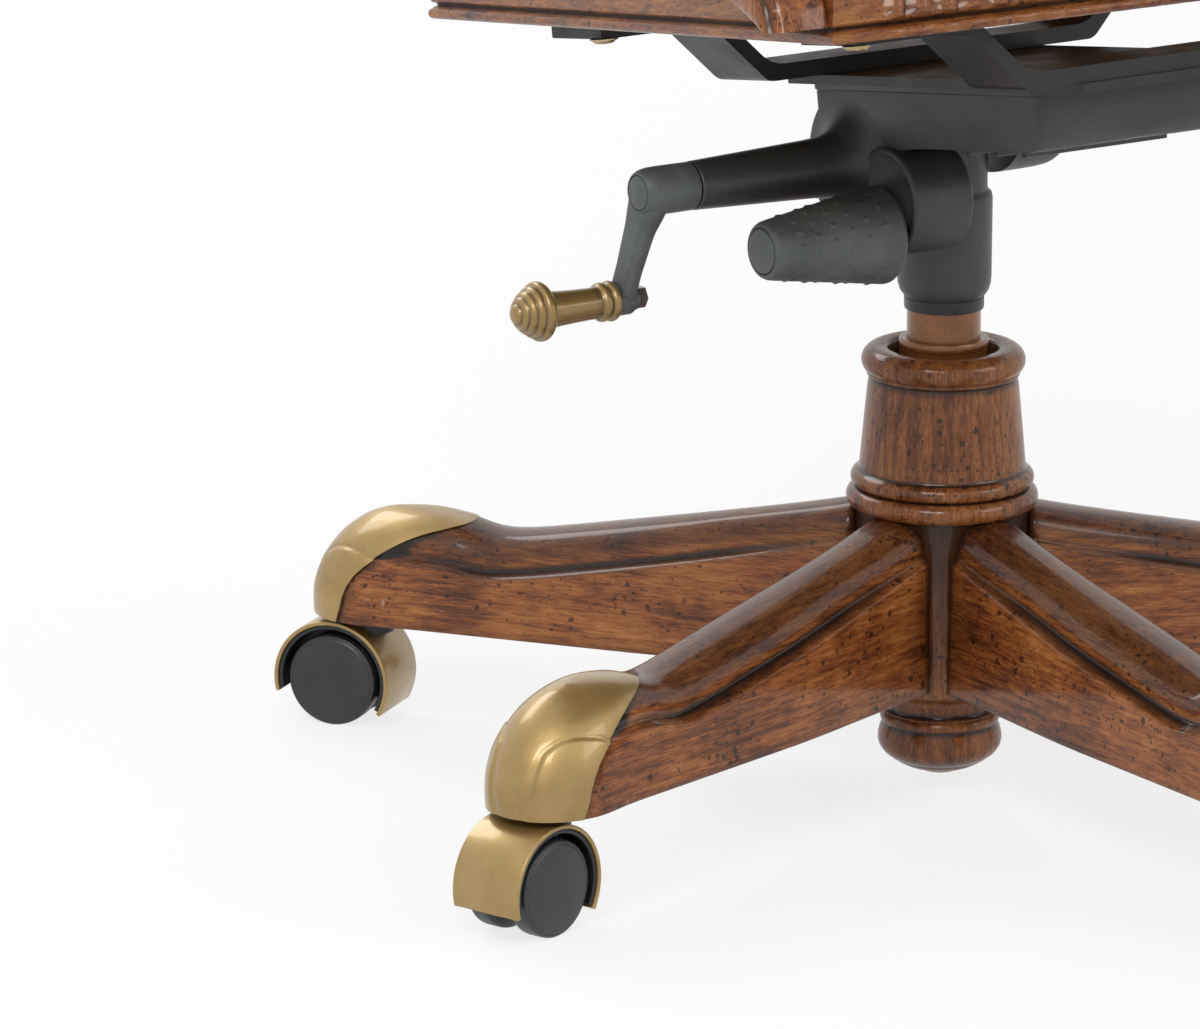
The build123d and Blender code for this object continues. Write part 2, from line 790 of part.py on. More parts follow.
barrel_start = handle_ring_length
barrel_end = handle_ring_length + handle_barrel_length
flange_start = handle_length - handle_flange_length
dome_height = handle_flange_length - handle_rim_length
dome_radius = (handle_tip_radius**2 + dome_height**2) / (2 * dome_height)
dome_angle = degrees(atan2(handle_tip_radius, dome_radius - dome_height))
handle_plane = Plane(origin=(handle_start, handle_y, handle_z), x_dir=(-1, 0, 0), z_dir=(0, 1, 0))
with BuildPart() as crank_handle:
    with BuildSketch(handle_plane):
        with BuildLine():
            bore = handle_bolt_radius + running_clearance
            grip_line = Polyline(
                (0, bore),
                (0, handle_ring_radius),
                ((handle_ring_length - handle_ring_groove) / 2, handle_ring_radius),
                (handle_ring_length / 2, handle_ring_radius - handle_ring_groove),
                (barrel_start, handle_ring_radius),
                (barrel_start + handle_ring_groove, handle_waist_radius),
            )
            swell = ThreePointArc(
                grip_line @ 1,
                ((barrel_start + barrel_end) / 2, handle_barrel_radius),
                (barrel_end, handle_waist_radius),
            )
            flange = Polyline(
                swell @ 1,
                (flange_start, handle_flange_radius),
                (flange_start + handle_rim_length, handle_flange_radius),
                (flange_start + handle_rim_length, handle_tip_radius),
            )
            dome = CenterArc((handle_length - dome_radius, 0), dome_radius, 0, dome_angle)
            Polyline(
                dome @ 0,
                (flange_start + body_gap, 0),
                (flange_start + body_gap, bore),
                grip_line @ 0,
            )
        make_face()
    revolve(axis=Axis((handle_start, handle_y, handle_z), (-1, 0, 0)))
finish(crank_handle, "crank_handle")

# Height lever: rod on a cross pin in the boss, rubber grip driven over its end
with BuildPart() as lever_rod:
    with BuildSketch(across(lever_rod_inner, lever_y, lever_height)):
        Circle(lever_rod_radius)
    extrude(amount=lever_rod_inner - grip_end - grip_edge_fillet)
    with BuildSketch(Plane(origin=(lever_pivot_x, lever_y, lever_height), z_dir=(0, 1, 0))):
        Circle(lever_pivot_radius)
    extrude(amount=lever_pivot_length / 2, both=True)
finish(lever_rod, "lever_rod")

with BuildPart() as lever_grip:
    with BuildSketch(across(grip_root, lever_y, lever_height)):
        Circle(grip_root_radius)
    with BuildSketch(across(grip_end, lever_y, lever_height)):
        Circle(grip_end_radius)
    loft()
    fillet(lever_grip.edges().filter_by(GeomType.CIRCLE), grip_edge_fillet)
    with BuildSketch(across(grip_root, lever_y, lever_height)):
        Circle(lever_rod_radius + press_clearance)
    extrude(amount=grip_root - grip_end - grip_edge_fillet, mode=Mode.SUBTRACT)
finish(lever_grip, "lever_grip")

# Seat plate on the case, and the two bars that carry the rails
plate_top = case_top + plate_thickness
with BuildPart() as seat_plate:
    with BuildSketch(seat_plane.offset(case_top)):
        with Locations((0, (plate_rear + plate_front) / 2)):
            Rectangle(2 * plate_half_width, plate_rear - plate_front)
    extrude(amount=plate_thickness)
finish(seat_plate, "seat_plate")

bar_top = plate_top + bar_thickness + bar_rise
bar_slope = hypot(bar_rise, bar_bend_outer - bar_bend_inner)
bar_foot = bar_thickness * (bar_slope - bar_bend_outer + bar_bend_inner) / bar_rise


def seat_bar(y):
    """Flat steel bar, cranked up on each side to a pad under the side rail."""
    bar_origin = seat_plane.from_local_coords((0, y, 0))
    bar_plane = Plane(origin=bar_origin, x_dir=(1, 0, 0), z_dir=-seat_back_dir)
    with BuildPart() as bar:
        with BuildSketch(bar_plane):
            with BuildLine():
                right = Polyline(
                    (0, plate_top),
                    (bar_bend_inner, plate_top),
                    (bar_bend_outer, plate_top + bar_rise),
                    (bar_end, plate_top + bar_rise),
                    (bar_end, bar_top),
                    (bar_bend_outer - bar_foot, bar_top),
                    (bar_bend_inner - bar_foot, plate_top + bar_thickness),
                    (0, plate_top + bar_thickness),
                )
                mirror(right, about=Plane.YZ)
            make_face()
        extrude(amount=bar_width / 2, both=True)
        with BuildSketch(seat_plane.offset(bar_top)):
            with Locations((-(pad_inner + pad_outer) / 2, y), ((pad_inner + pad_outer) / 2, y)):
                Rectangle(pad_outer - pad_inner, pad_width)
        extrude(amount=-bar_top)
        with BuildSketch(seat_plane.offset(bar_top)):
            with Locations((-bolt_x, y + bolt_offset_y), (bolt_x, y + bolt_offset_y)):
                Circle(bolt_radius + press_clearance)
        extrude(amount=-bar_top, mode=Mode.SUBTRACT)
    return bar


finish(seat_bar(bar_rear_y), "seat_bar_rear")
finish(seat_bar(bar_front_y), "seat_bar_front")

bolt_points = [(x, y + bolt_offset_y) for x in (-bolt_x, bolt_x) for y in (bar_rear_y, bar_front_y)]
with BuildPart() as seat_screws:
    with BuildSketch(seat_plane.offset(bar_top)):
        with Locations(*bolt_points):
            Circle(bolt_head_radius)
    extrude(amount=-bolt_head_height)
    with BuildSketch(seat_plane.offset(bar_top)):
        with Locations(*bolt_points):
            Circle(bolt_radius)
    extrude(amount=bolt_length)
finish(seat_screws, "seat_screws")


def seat_corner(inset, front):
    """Corner of the seat outline on its left, drawn in by an inset square to each side."""
    y = seat_front + inset if front else seat_rear - inset
    return (seat_edge(y) - inset / cos(splay), y)


def seat_edge(y):
    """Half width of the seat frame at a place along it."""
    return seat_front_half_width - (y - seat_front) * tan(splay)


splay = atan2(seat_front_half_width - seat_rear_half_width, seat_rear - seat_front)

# Rails are stacked from a bead, a groove and the rail itself: inset of the face, start, height
rail_bands = (
    (-rail_bead_out, 0.0, rail_bead_height),
    (rail_groove_in, rail_bead_height, rail_groove_height),
    (0.0, rail_bead_height + rail_groove_height, rail_height - rail_bead_height - rail_groove_height),
)

with BuildPart() as seat_rail_left:
    for inset, start, height in rail_bands:
        with BuildSketch(seat_plane.offset(start)):
            Polygon(
                seat_corner(inset, True),
                seat_corner(inset, False),
                seat_corner(rail_thickness, False),
                seat_corner(rail_thickness, True),
                align=None,
            )
        extrude(amount=height)
    with BuildSketch(seat_plane):
        with Locations(*[point for point in bolt_points if point[0] > 0]):
            Circle(bolt_radius + press_clearance)
    extrude(amount=bolt_length + bar_top, mode=Mode.SUBTRACT)
finish(seat_rail_left, "seat_rail_left")

with BuildPart() as seat_rail_right:
    mirror(seat_rail_left.part, about=Plane.YZ)
finish(seat_rail_right, "seat_rail_right")

with BuildPart() as seat_rail_rear:
    for inset, start, height in rail_bands:
        outer_x, outer_y = seat_corner(inset, False)
        inner_x, inner_y = seat_corner(rail_thickness, False)
        with BuildSketch(seat_plane.offset(start)):
            Polygon(
                (-outer_x, outer_y),
                (-inner_x, inner_y),
                (inner_x, inner_y),
                (outer_x, outer_y),
                align=None,
            )
        extrude(amount=height)
finish(seat_rail_rear, "seat_rail_rear")

with BuildPart() as seat_rail_front:
    for inset, start, height in rail_bands:
        outer_x, outer_y = seat_corner(inset, True)
        inner_x, inner_y = seat_corner(rail_thickness, True)
        with BuildSketch(seat_plane.offset(start)):
            with BuildLine():
                face = ThreePointArc((-outer_x, outer_y), (0, outer_y - seat_bow), (outer_x, outer_y))
                Polyline(face @ 0, (-inner_x, inner_y), (inner_x, inner_y), face @ 1)
            make_face()
        extrude(amount=height)
finish(seat_rail_front, "seat_rail_front")

with BuildPart() as seat_deck:
    front_x, front_y = seat_corner(rail_thickness + press_clearance, True)
    rear_x, rear_y = seat_corner(rail_thickness + press_clearance, False)
    with BuildSketch(seat_plane.offset(deck_level)):
        Polygon((-front_x, front_y), (front_x, front_y), (rear_x, rear_y), (-rear_x, rear_y), align=None)
    extrude(amount=deck_thickness)
finish(seat_deck, "seat_deck")


def cushion_outline(inset):
    """Seat cushion from above: the frame's outline with a bowed front and a straight rear."""
    front = seat_front + inset
    rear = cushion_rear - inset
    front_x = seat_edge(front) - inset / cos(splay)
    rear_x = seat_edge(rear) - inset / cos(splay)
    with BuildSketch() as outline:
        with BuildLine():
            edge = ThreePointArc((-front_x, front), (0, front - seat_bow), (front_x, front))
            Polyline(edge @ 1, (rear_x, rear), (-rear_x, rear), edge @ 0)
        make_face()
    return outline.sketch


# Seat cushion: drawn in at the rails, fullest at a third of its height, crowned on top
cushion_levels = (
    (0.0, cushion_side_in),
    (cushion_height * cushion_bulge_share, cushion_side_in - cushion_bulge),
    (cushion_height * cushion_shoulder_share, cushion_side_in),
    (cushion_height * cushion_turn_share, cushion_side_in + cushion_turn_in),
    (cushion_height, cushion_side_in + cushion_crown_in),
)
with BuildPart() as seat_cushion:
    for level, inset in cushion_levels:
        with BuildSketch(seat_plane.offset(rail_height + soft_gap + level)):
            add(cushion_outline(inset))
    loft(ruled=True)
finish(seat_cushion, "seat_cushion")

# Back frame of reference: x across, y up the back, z forward out of it
lean = radians(back_recline)
back_foot = (back_foot_y - rail_height * sin(tilt)) / cos(tilt)
back_plane = Plane(
    origin=(0, back_foot_y, seat_height - back_foot * sin(tilt) + rail_height * cos(tilt)),
    x_dir=(1, 0, 0),
    z_dir=(0, -cos(lean), sin(lean)),
)
rail_top_plane = seat_plane.offset(rail_height)
lower_rail_top = lower_rail_bottom + lower_rail_height
stile_overrun = frame_depth  # drawn below the rails by this much, then cut to them


def stile_inner(height):
    """Inner edge of the stiles at a height up the back."""
    foot = stile_outer_foot - stile_width_foot
    elbow = stile_outer_elbow - stile_width_elbow
    top = stile_outer_top - stile_width_top
    if height < stile_elbow:
        return foot + (elbow - foot) * height / stile_elbow
    return elbow + (top - elbow) * (height - stile_elbow) / (stile_top - stile_elbow)


foot_slope = (stile_outer_elbow - stile_outer_foot) / stile_elbow
with BuildPart() as back_stile_left:
    with BuildSketch(back_plane):
        Polygon(
            (stile_inner(-stile_overrun), -stile_overrun),
            (stile_outer_foot - foot_slope * stile_overrun, -stile_overrun),
            (stile_outer_elbow, stile_elbow),
            (stile_outer_top, stile_top),
            (stile_inner(stile_top), stile_top),
            (stile_inner(stile_elbow), stile_elbow),
            align=None,
        )
    extrude(amount=-frame_depth)
    split(bisect_by=rail_top_plane, keep=Keep.TOP)
finish(back_stile_left, "back_stile_left")

with BuildPart() as back_stile_right:
    mirror(back_stile_left.part, about=Plane.YZ)
finish(back_stile_right, "back_stile_right")

with BuildPart() as crest_rail:
    with BuildSketch(back_plane):
        with BuildLine():
            top_edge = ThreePointArc(
                (-stile_outer_top, stile_top), (0, stile_top + crest_rise), (stile_outer_top, stile_top)
            )
            inner = stile_inner(stile_top)
            arch = ThreePointArc((-inner, stile_top), (0, stile_top + crest_arch), (inner, stile_top))
            Line(top_edge @ 0, arch @ 0)
            Line(top_edge @ 1, arch @ 1)
        make_face()
    extrude(amount=-frame_depth)
finish(crest_rail, "crest_rail")

with BuildPart() as back_lower_rail:
    with BuildSketch(back_plane):
        low_x = stile_inner(lower_rail_bottom)
        high_x = stile_inner(lower_rail_top)
        Polygon(
            (-low_x, lower_rail_bottom),
            (low_x, lower_rail_bottom),
            (high_x, lower_rail_top),
            (-high_x, lower_rail_top),
            align=None,
        )
    extrude(amount=-frame_depth)
finish(back_lower_rail, "back_lower_rail")


def back_outline(inset):
    """Opening of the back frame, drawn in by an inset."""
    bottom = lower_rail_top + inset
    top = stile_top - inset
    with BuildSketch() as outline:
        with BuildLine():
            top_x = stile_inner(top) - inset
            arch_edge = ThreePointArc((-top_x, top), (0, top + crest_arch), (top_x, top))
            Polyline(
                arch_edge @ 1,
                (stile_inner(stile_elbow) - inset, stile_elbow),
                (stile_inner(bottom) - inset, bottom),
                (-stile_inner(bottom) + inset, bottom),
                (-stile_inner(stile_elbow) + inset, stile_elbow),
                arch_edge @ 0,
            )
        make_face()
    return outline.sketch


with BuildPart() as back_panel:
    with BuildSketch(back_plane.offset(-panel_setback)):
        add(back_outline(press_clearance))
    extrude(amount=panel_thickness)
finish(back_panel, "back_panel")

# Back cushion: fills the frame, crowned in front, drawn in at the buttons
button_points = []
for row in range(button_rows):
    columns = button_columns + row % 2
    for column in range(columns):
        button_x = (column - (columns - 1) / 2) * button_pitch
        button_points.append((button_x, button_first_row + row * button_row_pitch))
cushion_back = -panel_setback + panel_thickness + soft_gap
back_levels = (
    (cushion_back, back_cushion_inset),
    (back_cushion_side, back_cushion_inset),
    (back_cushion_front * back_cushion_shoulder_share, back_cushion_inset + back_cushion_shoulder_in),
    (back_cushion_front, back_cushion_inset + back_cushion_crown_in),
)
with BuildPart() as back_cushion:
    for level, inset in back_levels:
        with BuildSketch(back_plane.offset(level)):
            add(back_outline(inset))
    loft(ruled=True)
    with BuildSketch(back_plane.offset(button_depth - soft_gap)):
        with Locations(*button_points):
            Circle(button_radius + soft_gap)
    extrude(
        amount=back_cushion_front - button_depth + soft_gap,
        taper=-degrees(atan2(tuft_mouth_radius - button_radius, back_cushion_front - button_depth)),
        mode=Mode.SUBTRACT,
    )
finish(back_cushion, "back_cushion")

with BuildPart() as back_buttons:
    with BuildSketch(back_plane.offset(button_depth)):
        with Locations(*button_points):
            Circle(button_radius)
    extrude(amount=button_height)
finish(back_buttons, "back_buttons")

# Arm frame of reference on the left: x back along the rail from its front corner, y up, z outward
arm_back_dir = seat_back_dir * cos(splay) - Vector(sin(splay), 0, 0)
arm_out_dir = seat_back_dir * sin(splay) + Vector(cos(splay), 0, 0)
arm_plane = Plane(
    origin=seat_plane.from_local_coords((seat_front_half_width, seat_front, 0)),
    x_dir=arm_back_dir,
    z_dir=arm_out_dir,
)
arm_foot = rail_bead_height + rail_groove_height + body_gap
arm_middle = arm_support_thickness / 2
arm_top = arm_bottom + arm_thickness

# Arm support: foots on the bead at the front corner, sweeps back and rises to the arm
with BuildPart() as arm_support_left:
    with BuildSketch(arm_plane):
        with BuildLine():
            front_edge = Spline(
                (support_foot_front, arm_foot),
                (support_knee_front, support_knee_height),
                (support_shin_front, rail_height),
                (support_bow_front, support_bow_height),
                (support_top_front, arm_bottom),
            )
            rear_edge = Spline(
                (support_foot_rear, arm_foot),
                (support_knee_rear, support_knee_height),
                (support_shin_rear, rail_height),
                (support_bow_rear, support_bow_height),
                (support_top_rear, arm_bottom),
            )
            Line(front_edge @ 0, rear_edge @ 0)
            Line(front_edge @ 1, rear_edge @ 1)
        make_face()
    extrude(amount=arm_support_thickness)
finish(arm_support_left, "arm_support_left")

with BuildPart() as arm_support_right:
    mirror(arm_support_left.part, about=Plane.YZ)
finish(arm_support_right, "arm_support_right")

arm_reach = seat_rear - seat_front + frame_depth  # drawn past the stile, then cut to its face
with BuildPart() as arm_rail_left:
    with BuildSketch(arm_plane.offset(arm_middle - arm_half_width)):
        with Locations((arm_scroll_back, arm_top - arm_scroll_radius)):
            Circle(arm_scroll_radius)
        with Locations((arm_scroll_back + arm_reach / 2, arm_bottom + arm_thickness / 2)):
            Rectangle(arm_reach, arm_thickness)
    extrude(amount=2 * arm_half_width)
    split(bisect_by=back_plane, keep=Keep.TOP)
finish(arm_rail_left, "arm_rail_left")

with BuildPart() as arm_rail_right:
    mirror(arm_rail_left.part, about=Plane.YZ)
finish(arm_rail_right, "arm_rail_right")

with BuildPart() as arm_pads:
    with BuildSketch(arm_plane.offset(arm_middle - arm_pad_half_width)):
        with Locations((arm_pad_front + arm_pad_length / 2, arm_top + soft_gap + arm_pad_height / 2)):
            Rectangle(arm_pad_length, arm_pad_height)
    extrude(amount=2 * arm_pad_half_width)
    fillet(arm_pads.faces().sort_by(seat_up_axis)[-1].edges(), arm_pad_fillet)
    mirror(about=Plane.YZ)
finish(arm_pads, "arm_pads")
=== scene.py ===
import math

import bmesh
import bpy
import numpy as np
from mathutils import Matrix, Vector
from mathutils.bvhtree import BVHTree


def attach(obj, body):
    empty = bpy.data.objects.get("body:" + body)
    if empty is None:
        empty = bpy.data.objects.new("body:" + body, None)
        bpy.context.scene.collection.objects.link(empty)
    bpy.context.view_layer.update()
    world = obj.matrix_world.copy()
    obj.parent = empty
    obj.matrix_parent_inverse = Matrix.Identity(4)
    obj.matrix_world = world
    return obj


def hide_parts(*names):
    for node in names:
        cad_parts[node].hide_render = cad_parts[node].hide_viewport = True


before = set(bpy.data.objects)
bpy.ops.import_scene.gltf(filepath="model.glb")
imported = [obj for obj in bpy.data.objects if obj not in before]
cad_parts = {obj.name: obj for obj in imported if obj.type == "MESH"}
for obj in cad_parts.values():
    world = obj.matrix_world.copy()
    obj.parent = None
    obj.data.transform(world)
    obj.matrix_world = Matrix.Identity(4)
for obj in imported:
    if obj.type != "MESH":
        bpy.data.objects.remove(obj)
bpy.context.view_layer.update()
scene = bpy.context.scene
rng = np.random.default_rng(7)
milli = 0.001  # shapes are written in millimetres, Blender works in metres
legNames = ["front", "front_right", "rear_right", "rear_left", "front_left"]
legAngles = [math.radians(270 - 72 * i) for i in range(5)]


# small tools
def hexToLinear(code):
    parts = [int(code[i:i + 2], 16) / 255 for i in (1, 3, 5)]
    return [c / 12.92 if c <= 0.04045 else ((c + 0.055) / 1.055) ** 2.4 for c in parts] + [1.0]


def addNode(tree, kind, inputs=None, stops=(), out=0, **settings):  # gives the output that is asked for
    node = tree.nodes.new("ShaderNode" + kind)
    for key, value in settings.items():
        setattr(node, key, value)
    for key, value in (inputs or {}).items():
        if isinstance(value, bpy.types.NodeSocket):
            tree.links.new(value, node.inputs[key])
        else:
            node.inputs[key].default_value = value
    for i, (place, code) in enumerate(stops):  # a ramp's colours
        element = node.color_ramp.elements[i] if i < 2 else node.color_ramp.elements.new(place)
        element.position, element.color = place, hexToLinear(code)
    return node.outputs[out]


def newFinish(name, **sockets):
    finish = bpy.data.materials.new(name)
    finish.use_nodes = True
    tree = finish.node_tree
    shader = tree.nodes["Principled BSDF"]
    for key, value in sockets.items():
        shader.inputs[key.replace("_", " ")].default_value = value
    return finish, tree, shader


def wire(tree, shader, colour, rough, normal, glazeAndShade=None):  # darkness painted into grooves, seams and creases: mostly painted shade, on brass a patina
    if glazeAndShade:
        share = addNode(tree, "Attribute", attribute_name="glazeAndShade", out="Fac")
        colour = addNode(tree, "Mix", {0: share, 6: colour, 7: hexToLinear(glazeAndShade)}, data_type="RGBA", out=2)
    for key, socket in (("Base Color", colour), ("Roughness", rough), ("Normal", normal)):
        tree.links.new(socket, shader.inputs[key])


def smooth(low, high, x):
    t = np.clip((np.asarray(x, float) - low) / (high - low), 0, 1)
    return t * t * (3 - 2 * t)


def spaced(line, count=0, pitch=1.0, endpoint=True):  # even points along a line, by number or by pitch
    run = np.concatenate([[0], np.cumsum(np.linalg.norm(np.diff(line, axis=0), axis=1))])
    at = np.linspace(0, run[-1], count or int(run[-1] / pitch), endpoint=endpoint)
    return np.stack([np.interp(at, run, line[:, k]) for k in range(line.shape[1])], -1)


def curveThrough(points, count):  # even points on a smooth line through the given ones
    pts = np.asarray(points, float)
    ext = np.vstack([2 * pts[0] - pts[1], pts, 2 * pts[-1] - pts[-2]])
    fine = []
    for i in range(1, len(ext) - 2):
        p0, p1, p2, p3 = ext[i - 1:i + 3]
        for t in np.linspace(0, 1, 24, endpoint=False):
            fine.append(0.5 * (2 * p1 + (p2 - p0) * t + (2 * p0 - 5 * p1 + 4 * p2 - p3) * t * t
                + (3 * p1 - p0 - 3 * p2 + p3) * t ** 3))
    fine = np.vstack([fine, pts[-1]])
    return spaced(fine, count)


def placer(origin, right, ahead, up):  # puts a frame of reference's x, y and z into the scene
    axes = np.array([right, ahead, up], float)

    def place(x, y, z):
        return origin + np.stack(np.broadcast_arrays(x, y, z), -1) @ axes
    return place


def roundedBox(halfX, halfY, radius, arc=5):  # closed loop of points, counter-clockwise
    loop = []
    for cx, cy, start in ((1, 1, 0), (-1, 1, 90), (-1, -1, 180), (1, -1, 270)):
        for a in np.radians(np.linspace(start, start + 90, arc)):
            loop.append((cx * (halfX - radius) + radius * math.cos(a),
                cy * (halfY - radius) + radius * math.sin(a)))
    return np.array(loop)


def skin(rings, closed=True, caps=True):  # quads between rings of equal length
    rings = np.asarray(rings, float)
    rows, cols = rings.shape[:2]
    faces = []
    for i in range(rows - 1):
        for j in range(cols if closed else cols - 1):
            k = (j + 1) % cols
            faces.append((i * cols + j, i * cols + k, (i + 1) * cols + k, (i + 1) * cols + j))
    if caps:
        faces.append(tuple(range(cols - 1, -1, -1)))
        faces.append(tuple((rows - 1) * cols + j for j in range(cols)))
    return rings.reshape(-1, 3), faces


def turned(profile, origin=(0, 0, 0), axis=(0, 0, 1), steps=96):  # profile of (radius, place along the axis)
    axis = np.asarray(axis, float) / np.linalg.norm(axis)
    side = np.cross(axis, (0, 0, 1) if abs(axis[2]) < 0.9 else (1, 0, 0))
    side /= np.linalg.norm(side)
    other = np.cross(axis, side)
    prof = np.asarray(profile, float)
    turn = np.linspace(0, 2 * math.pi, steps, endpoint=False)
    ring = np.cos(turn)[:, None] * side + np.sin(turn)[:, None] * other
    rings = np.asarray(origin, float) + prof[:, 1, None, None] * axis + np.maximum(prof[:, 0], 0)[:, None,
        None] * ring
    return skin(rings)


def drum(radius, half, chamfer):  # profile for turned
    edge = [(0, half), (radius - chamfer, half), (radius, half - chamfer)]
    return [(r, -z) for r, z in edge] + edge[::-1]


def joined(*meshes):  # several (verts, faces) as one
    verts, faces, start = [], [], 0
    for v, f in meshes:
        verts.append(np.asarray(v, float).reshape(-1, 3))
        faces += [tuple(i + start for i in face) for face in f]
        start += len(verts[-1])
    return np.vstack(verts), faces


def mirrored(mesh, side=-1):  # side 1 leaves the mesh as it is
    return np.asarray(mesh[0], float) * (side, 1, 1), mesh[1]


def newPiece(name, mesh, finish, body, nodes=(), sharp=35, grain=None, glazeAndShade=None):
    verts, faces = np.asarray(mesh[0], float).reshape(-1, 3), mesh[1]
    data = bpy.data.meshes.new(name)
    data.from_pydata((verts * milli).tolist(), [], faces)
    origin, along, across, up = grain or ((0, 0, 0), (1, 0, 0), (0, 1, 0), (0, 0, 1))
    axes = np.array([along, across, up], float)
    spot = (verts - np.asarray(origin, float)) @ axes.T + rng.uniform(0, 4000, 3)
    data.attributes.new("grainPos", "FLOAT_VECTOR", "POINT").data.foreach_set("vector",
        spot.astype(np.float32).ravel())
    # darkness painted into grooves, seams and creases, mostly as painted shade
    if glazeAndShade is not None:
        shade = np.asarray(glazeAndShade, np.float32).ravel()
        data.attributes.new("glazeAndShade", "FLOAT", "POINT").data.foreach_set("value", shade)
    work = bmesh.new()
    work.from_mesh(data)
    bmesh.ops.remove_doubles(work, verts=work.verts, dist=2e-6)
    bmesh.ops.recalc_face_normals(work, faces=work.faces)
    work.to_mesh(data)
    work.free()
    data.shade_smooth()
    if sharp:
        data.set_sharp_from_angle(angle=math.radians(sharp))
    piece = bpy.data.objects.new(name, data)
    scene.collection.objects.link(piece)
    data.materials.append(finish)
    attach(piece, body)
    if nodes:
        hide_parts(*([nodes] if isinstance(nodes, str) else nodes))
    return piece


def softenEdges(piece, width, segments=3, angle=35):
    mod = piece.modifiers.new("edge", "BEVEL")
    mod.width = width * milli
    mod.segments = segments
    mod.limit_method = "ANGLE"
    mod.angle_limit = math.radians(angle)
    mod.harden_normals = False


print("tools ready")


# finishes
def lacqueredWalnut():
    # Walnut, stained, distressed by hand and lacquered: fine long grain, clustered age specks, pale and dark
    # nicks, and darkness painted into the grooves and seams as shade. The lacquer gives the shine, so the wood
    # below has a low IOR.
    # Fibres are drawn coarser than they are, so that they show. Sizes in mm.
    look = {"grain": 3.4, "fibre": 0.7, "patch": 60.0, "dust": 2.4, "fineSpeck": 6.0, "bigSpeck": 17.0,
        "wander": 1.8, "crowd": 42.0, "paleNick": 34.0, "darkNick": 26.0}
    finish, tree, shader = newFinish("lacqueredWalnut", IOR=1.25, Coat_Weight=0.5, Coat_Roughness=0.1)
    spot = addNode(tree, "Attribute", attribute_name="grainPos", out="Vector")
    long = addNode(tree, "VectorMath", {0: spot, 1: (0.08, 1, 1)}, operation="MULTIPLY")
    rings = addNode(tree, "TexNoise", {"Vector": long, "Scale": 1 / look["grain"], "Detail": 5,
        "Roughness": 0.6, "Distortion": 0.5})
    fibre = addNode(tree, "TexNoise", {"Vector": long, "Scale": 1 / look["fibre"], "Detail": 2})
    patch = addNode(tree, "TexNoise", {"Vector": spot, "Scale": 1 / look["patch"], "Detail": 4,
        "Roughness": 0.6})
    tone = addNode(tree, "Math", {0: rings, 1: 0.37}, operation="MULTIPLY")
    tone = addNode(tree, "Math", {0: patch, 1: 0.37, 2: tone}, operation="MULTIPLY_ADD")
    tone = addNode(tree, "Math", {0: fibre, 1: 0.26, 2: tone}, operation="MULTIPLY_ADD")
    wood = addNode(tree, "ValToRGB", {"Fac": tone}, ((0.38, "#3d1d0d"), (0.45, "#673619"),
        (0.52, "#8c5126"), (0.62, "#ab6f3b")))
    wander = addNode(tree, "TexNoise", {"Vector": spot, "Scale": 1 / look["wander"], "Detail": 2}, out="Color")
    rough = addNode(tree, "VectorMath", {0: wander, 1: (3.4, 2.2, 2.2), 2: spot}, operation="MULTIPLY_ADD")
    crowd = addNode(tree, "TexNoise", {"Vector": spot, "Scale": 1 / look["crowd"], "Detail": 3})
    crowd = addNode(tree, "MapRange", {"Value": crowd, "From Min": 0.4, "From Max": 0.62, "To Min": 0.4,
        "To Max": 1.0})
    for cell, least, reach in ((look["dust"], 0.3, 0.46), (look["fineSpeck"], 0.1, 0.38),
            (look["bigSpeck"], 0.35, 0.24)):
        speck = addNode(tree, "TexVoronoi", {"Vector": rough, "Scale": 1 / cell})
        chance = addNode(tree, "SeparateColor", {"Color": speck.node.outputs["Color"]})
        size = addNode(tree, "MapRange", {"Value": chance, "From Min": least, "To Max": reach})
        size = addNode(tree, "Math", {0: size, 1: crowd}, operation="MULTIPLY")
        inside = addNode(tree, "Math", {0: size, 1: speck}, operation="SUBTRACT")
        marks = addNode(tree, "MapRange", {"Value": inside, "From Min": -0.02, "From Max": 0.05, "To Max": 0.8})
        wood = addNode(tree, "Mix", {0: marks, 6: wood, 7: hexToLinear("#170a05")}, data_type="RGBA", out=2)
    # pale and dark nicks
    for cell, turn, colour in ((look["paleNick"], (0.5, 0.4, 0.9), "#b09a82"),
            (look["darkNick"], (0.3, 0.8, -0.5), "#1a0c06")):
        slant = addNode(tree, "Mapping", {"Vector": spot, "Rotation": turn, "Scale": (1, 0.2, 0.4)})
        nick = addNode(tree, "TexVoronoi", {"Vector": slant, "Scale": 1 / cell})
        nicks = addNode(tree, "MapRange", {"Value": nick, "From Min": 0.036, "From Max": 0.02, "To Max": 0.7})
        wood = addNode(tree, "Mix", {0: nicks, 6: wood, 7: hexToLinear(colour)}, data_type="RGBA", out=2)
    dull = addNode(tree, "MapRange", {"Value": patch, "From Min": 0.3, "From Max": 0.7, "To Min": 0.42,
        "To Max": 0.54})
    pits = addNode(tree, "Math", {0: marks, 1: nicks}, operation="ADD")
    pits = addNode(tree, "Math", {0: fibre, 1: 0.2, 2: pits}, operation="MULTIPLY_ADD")
    bump = addNode(tree, "Bump", {"Height": pits, "Strength": 0.35, "Distance": 0.0006}, invert=True)
    # the last colour is the dark of the shade painted into grooves and seams
    wire(tree, shader, wood, dull, bump, "#150a06")
    return finish


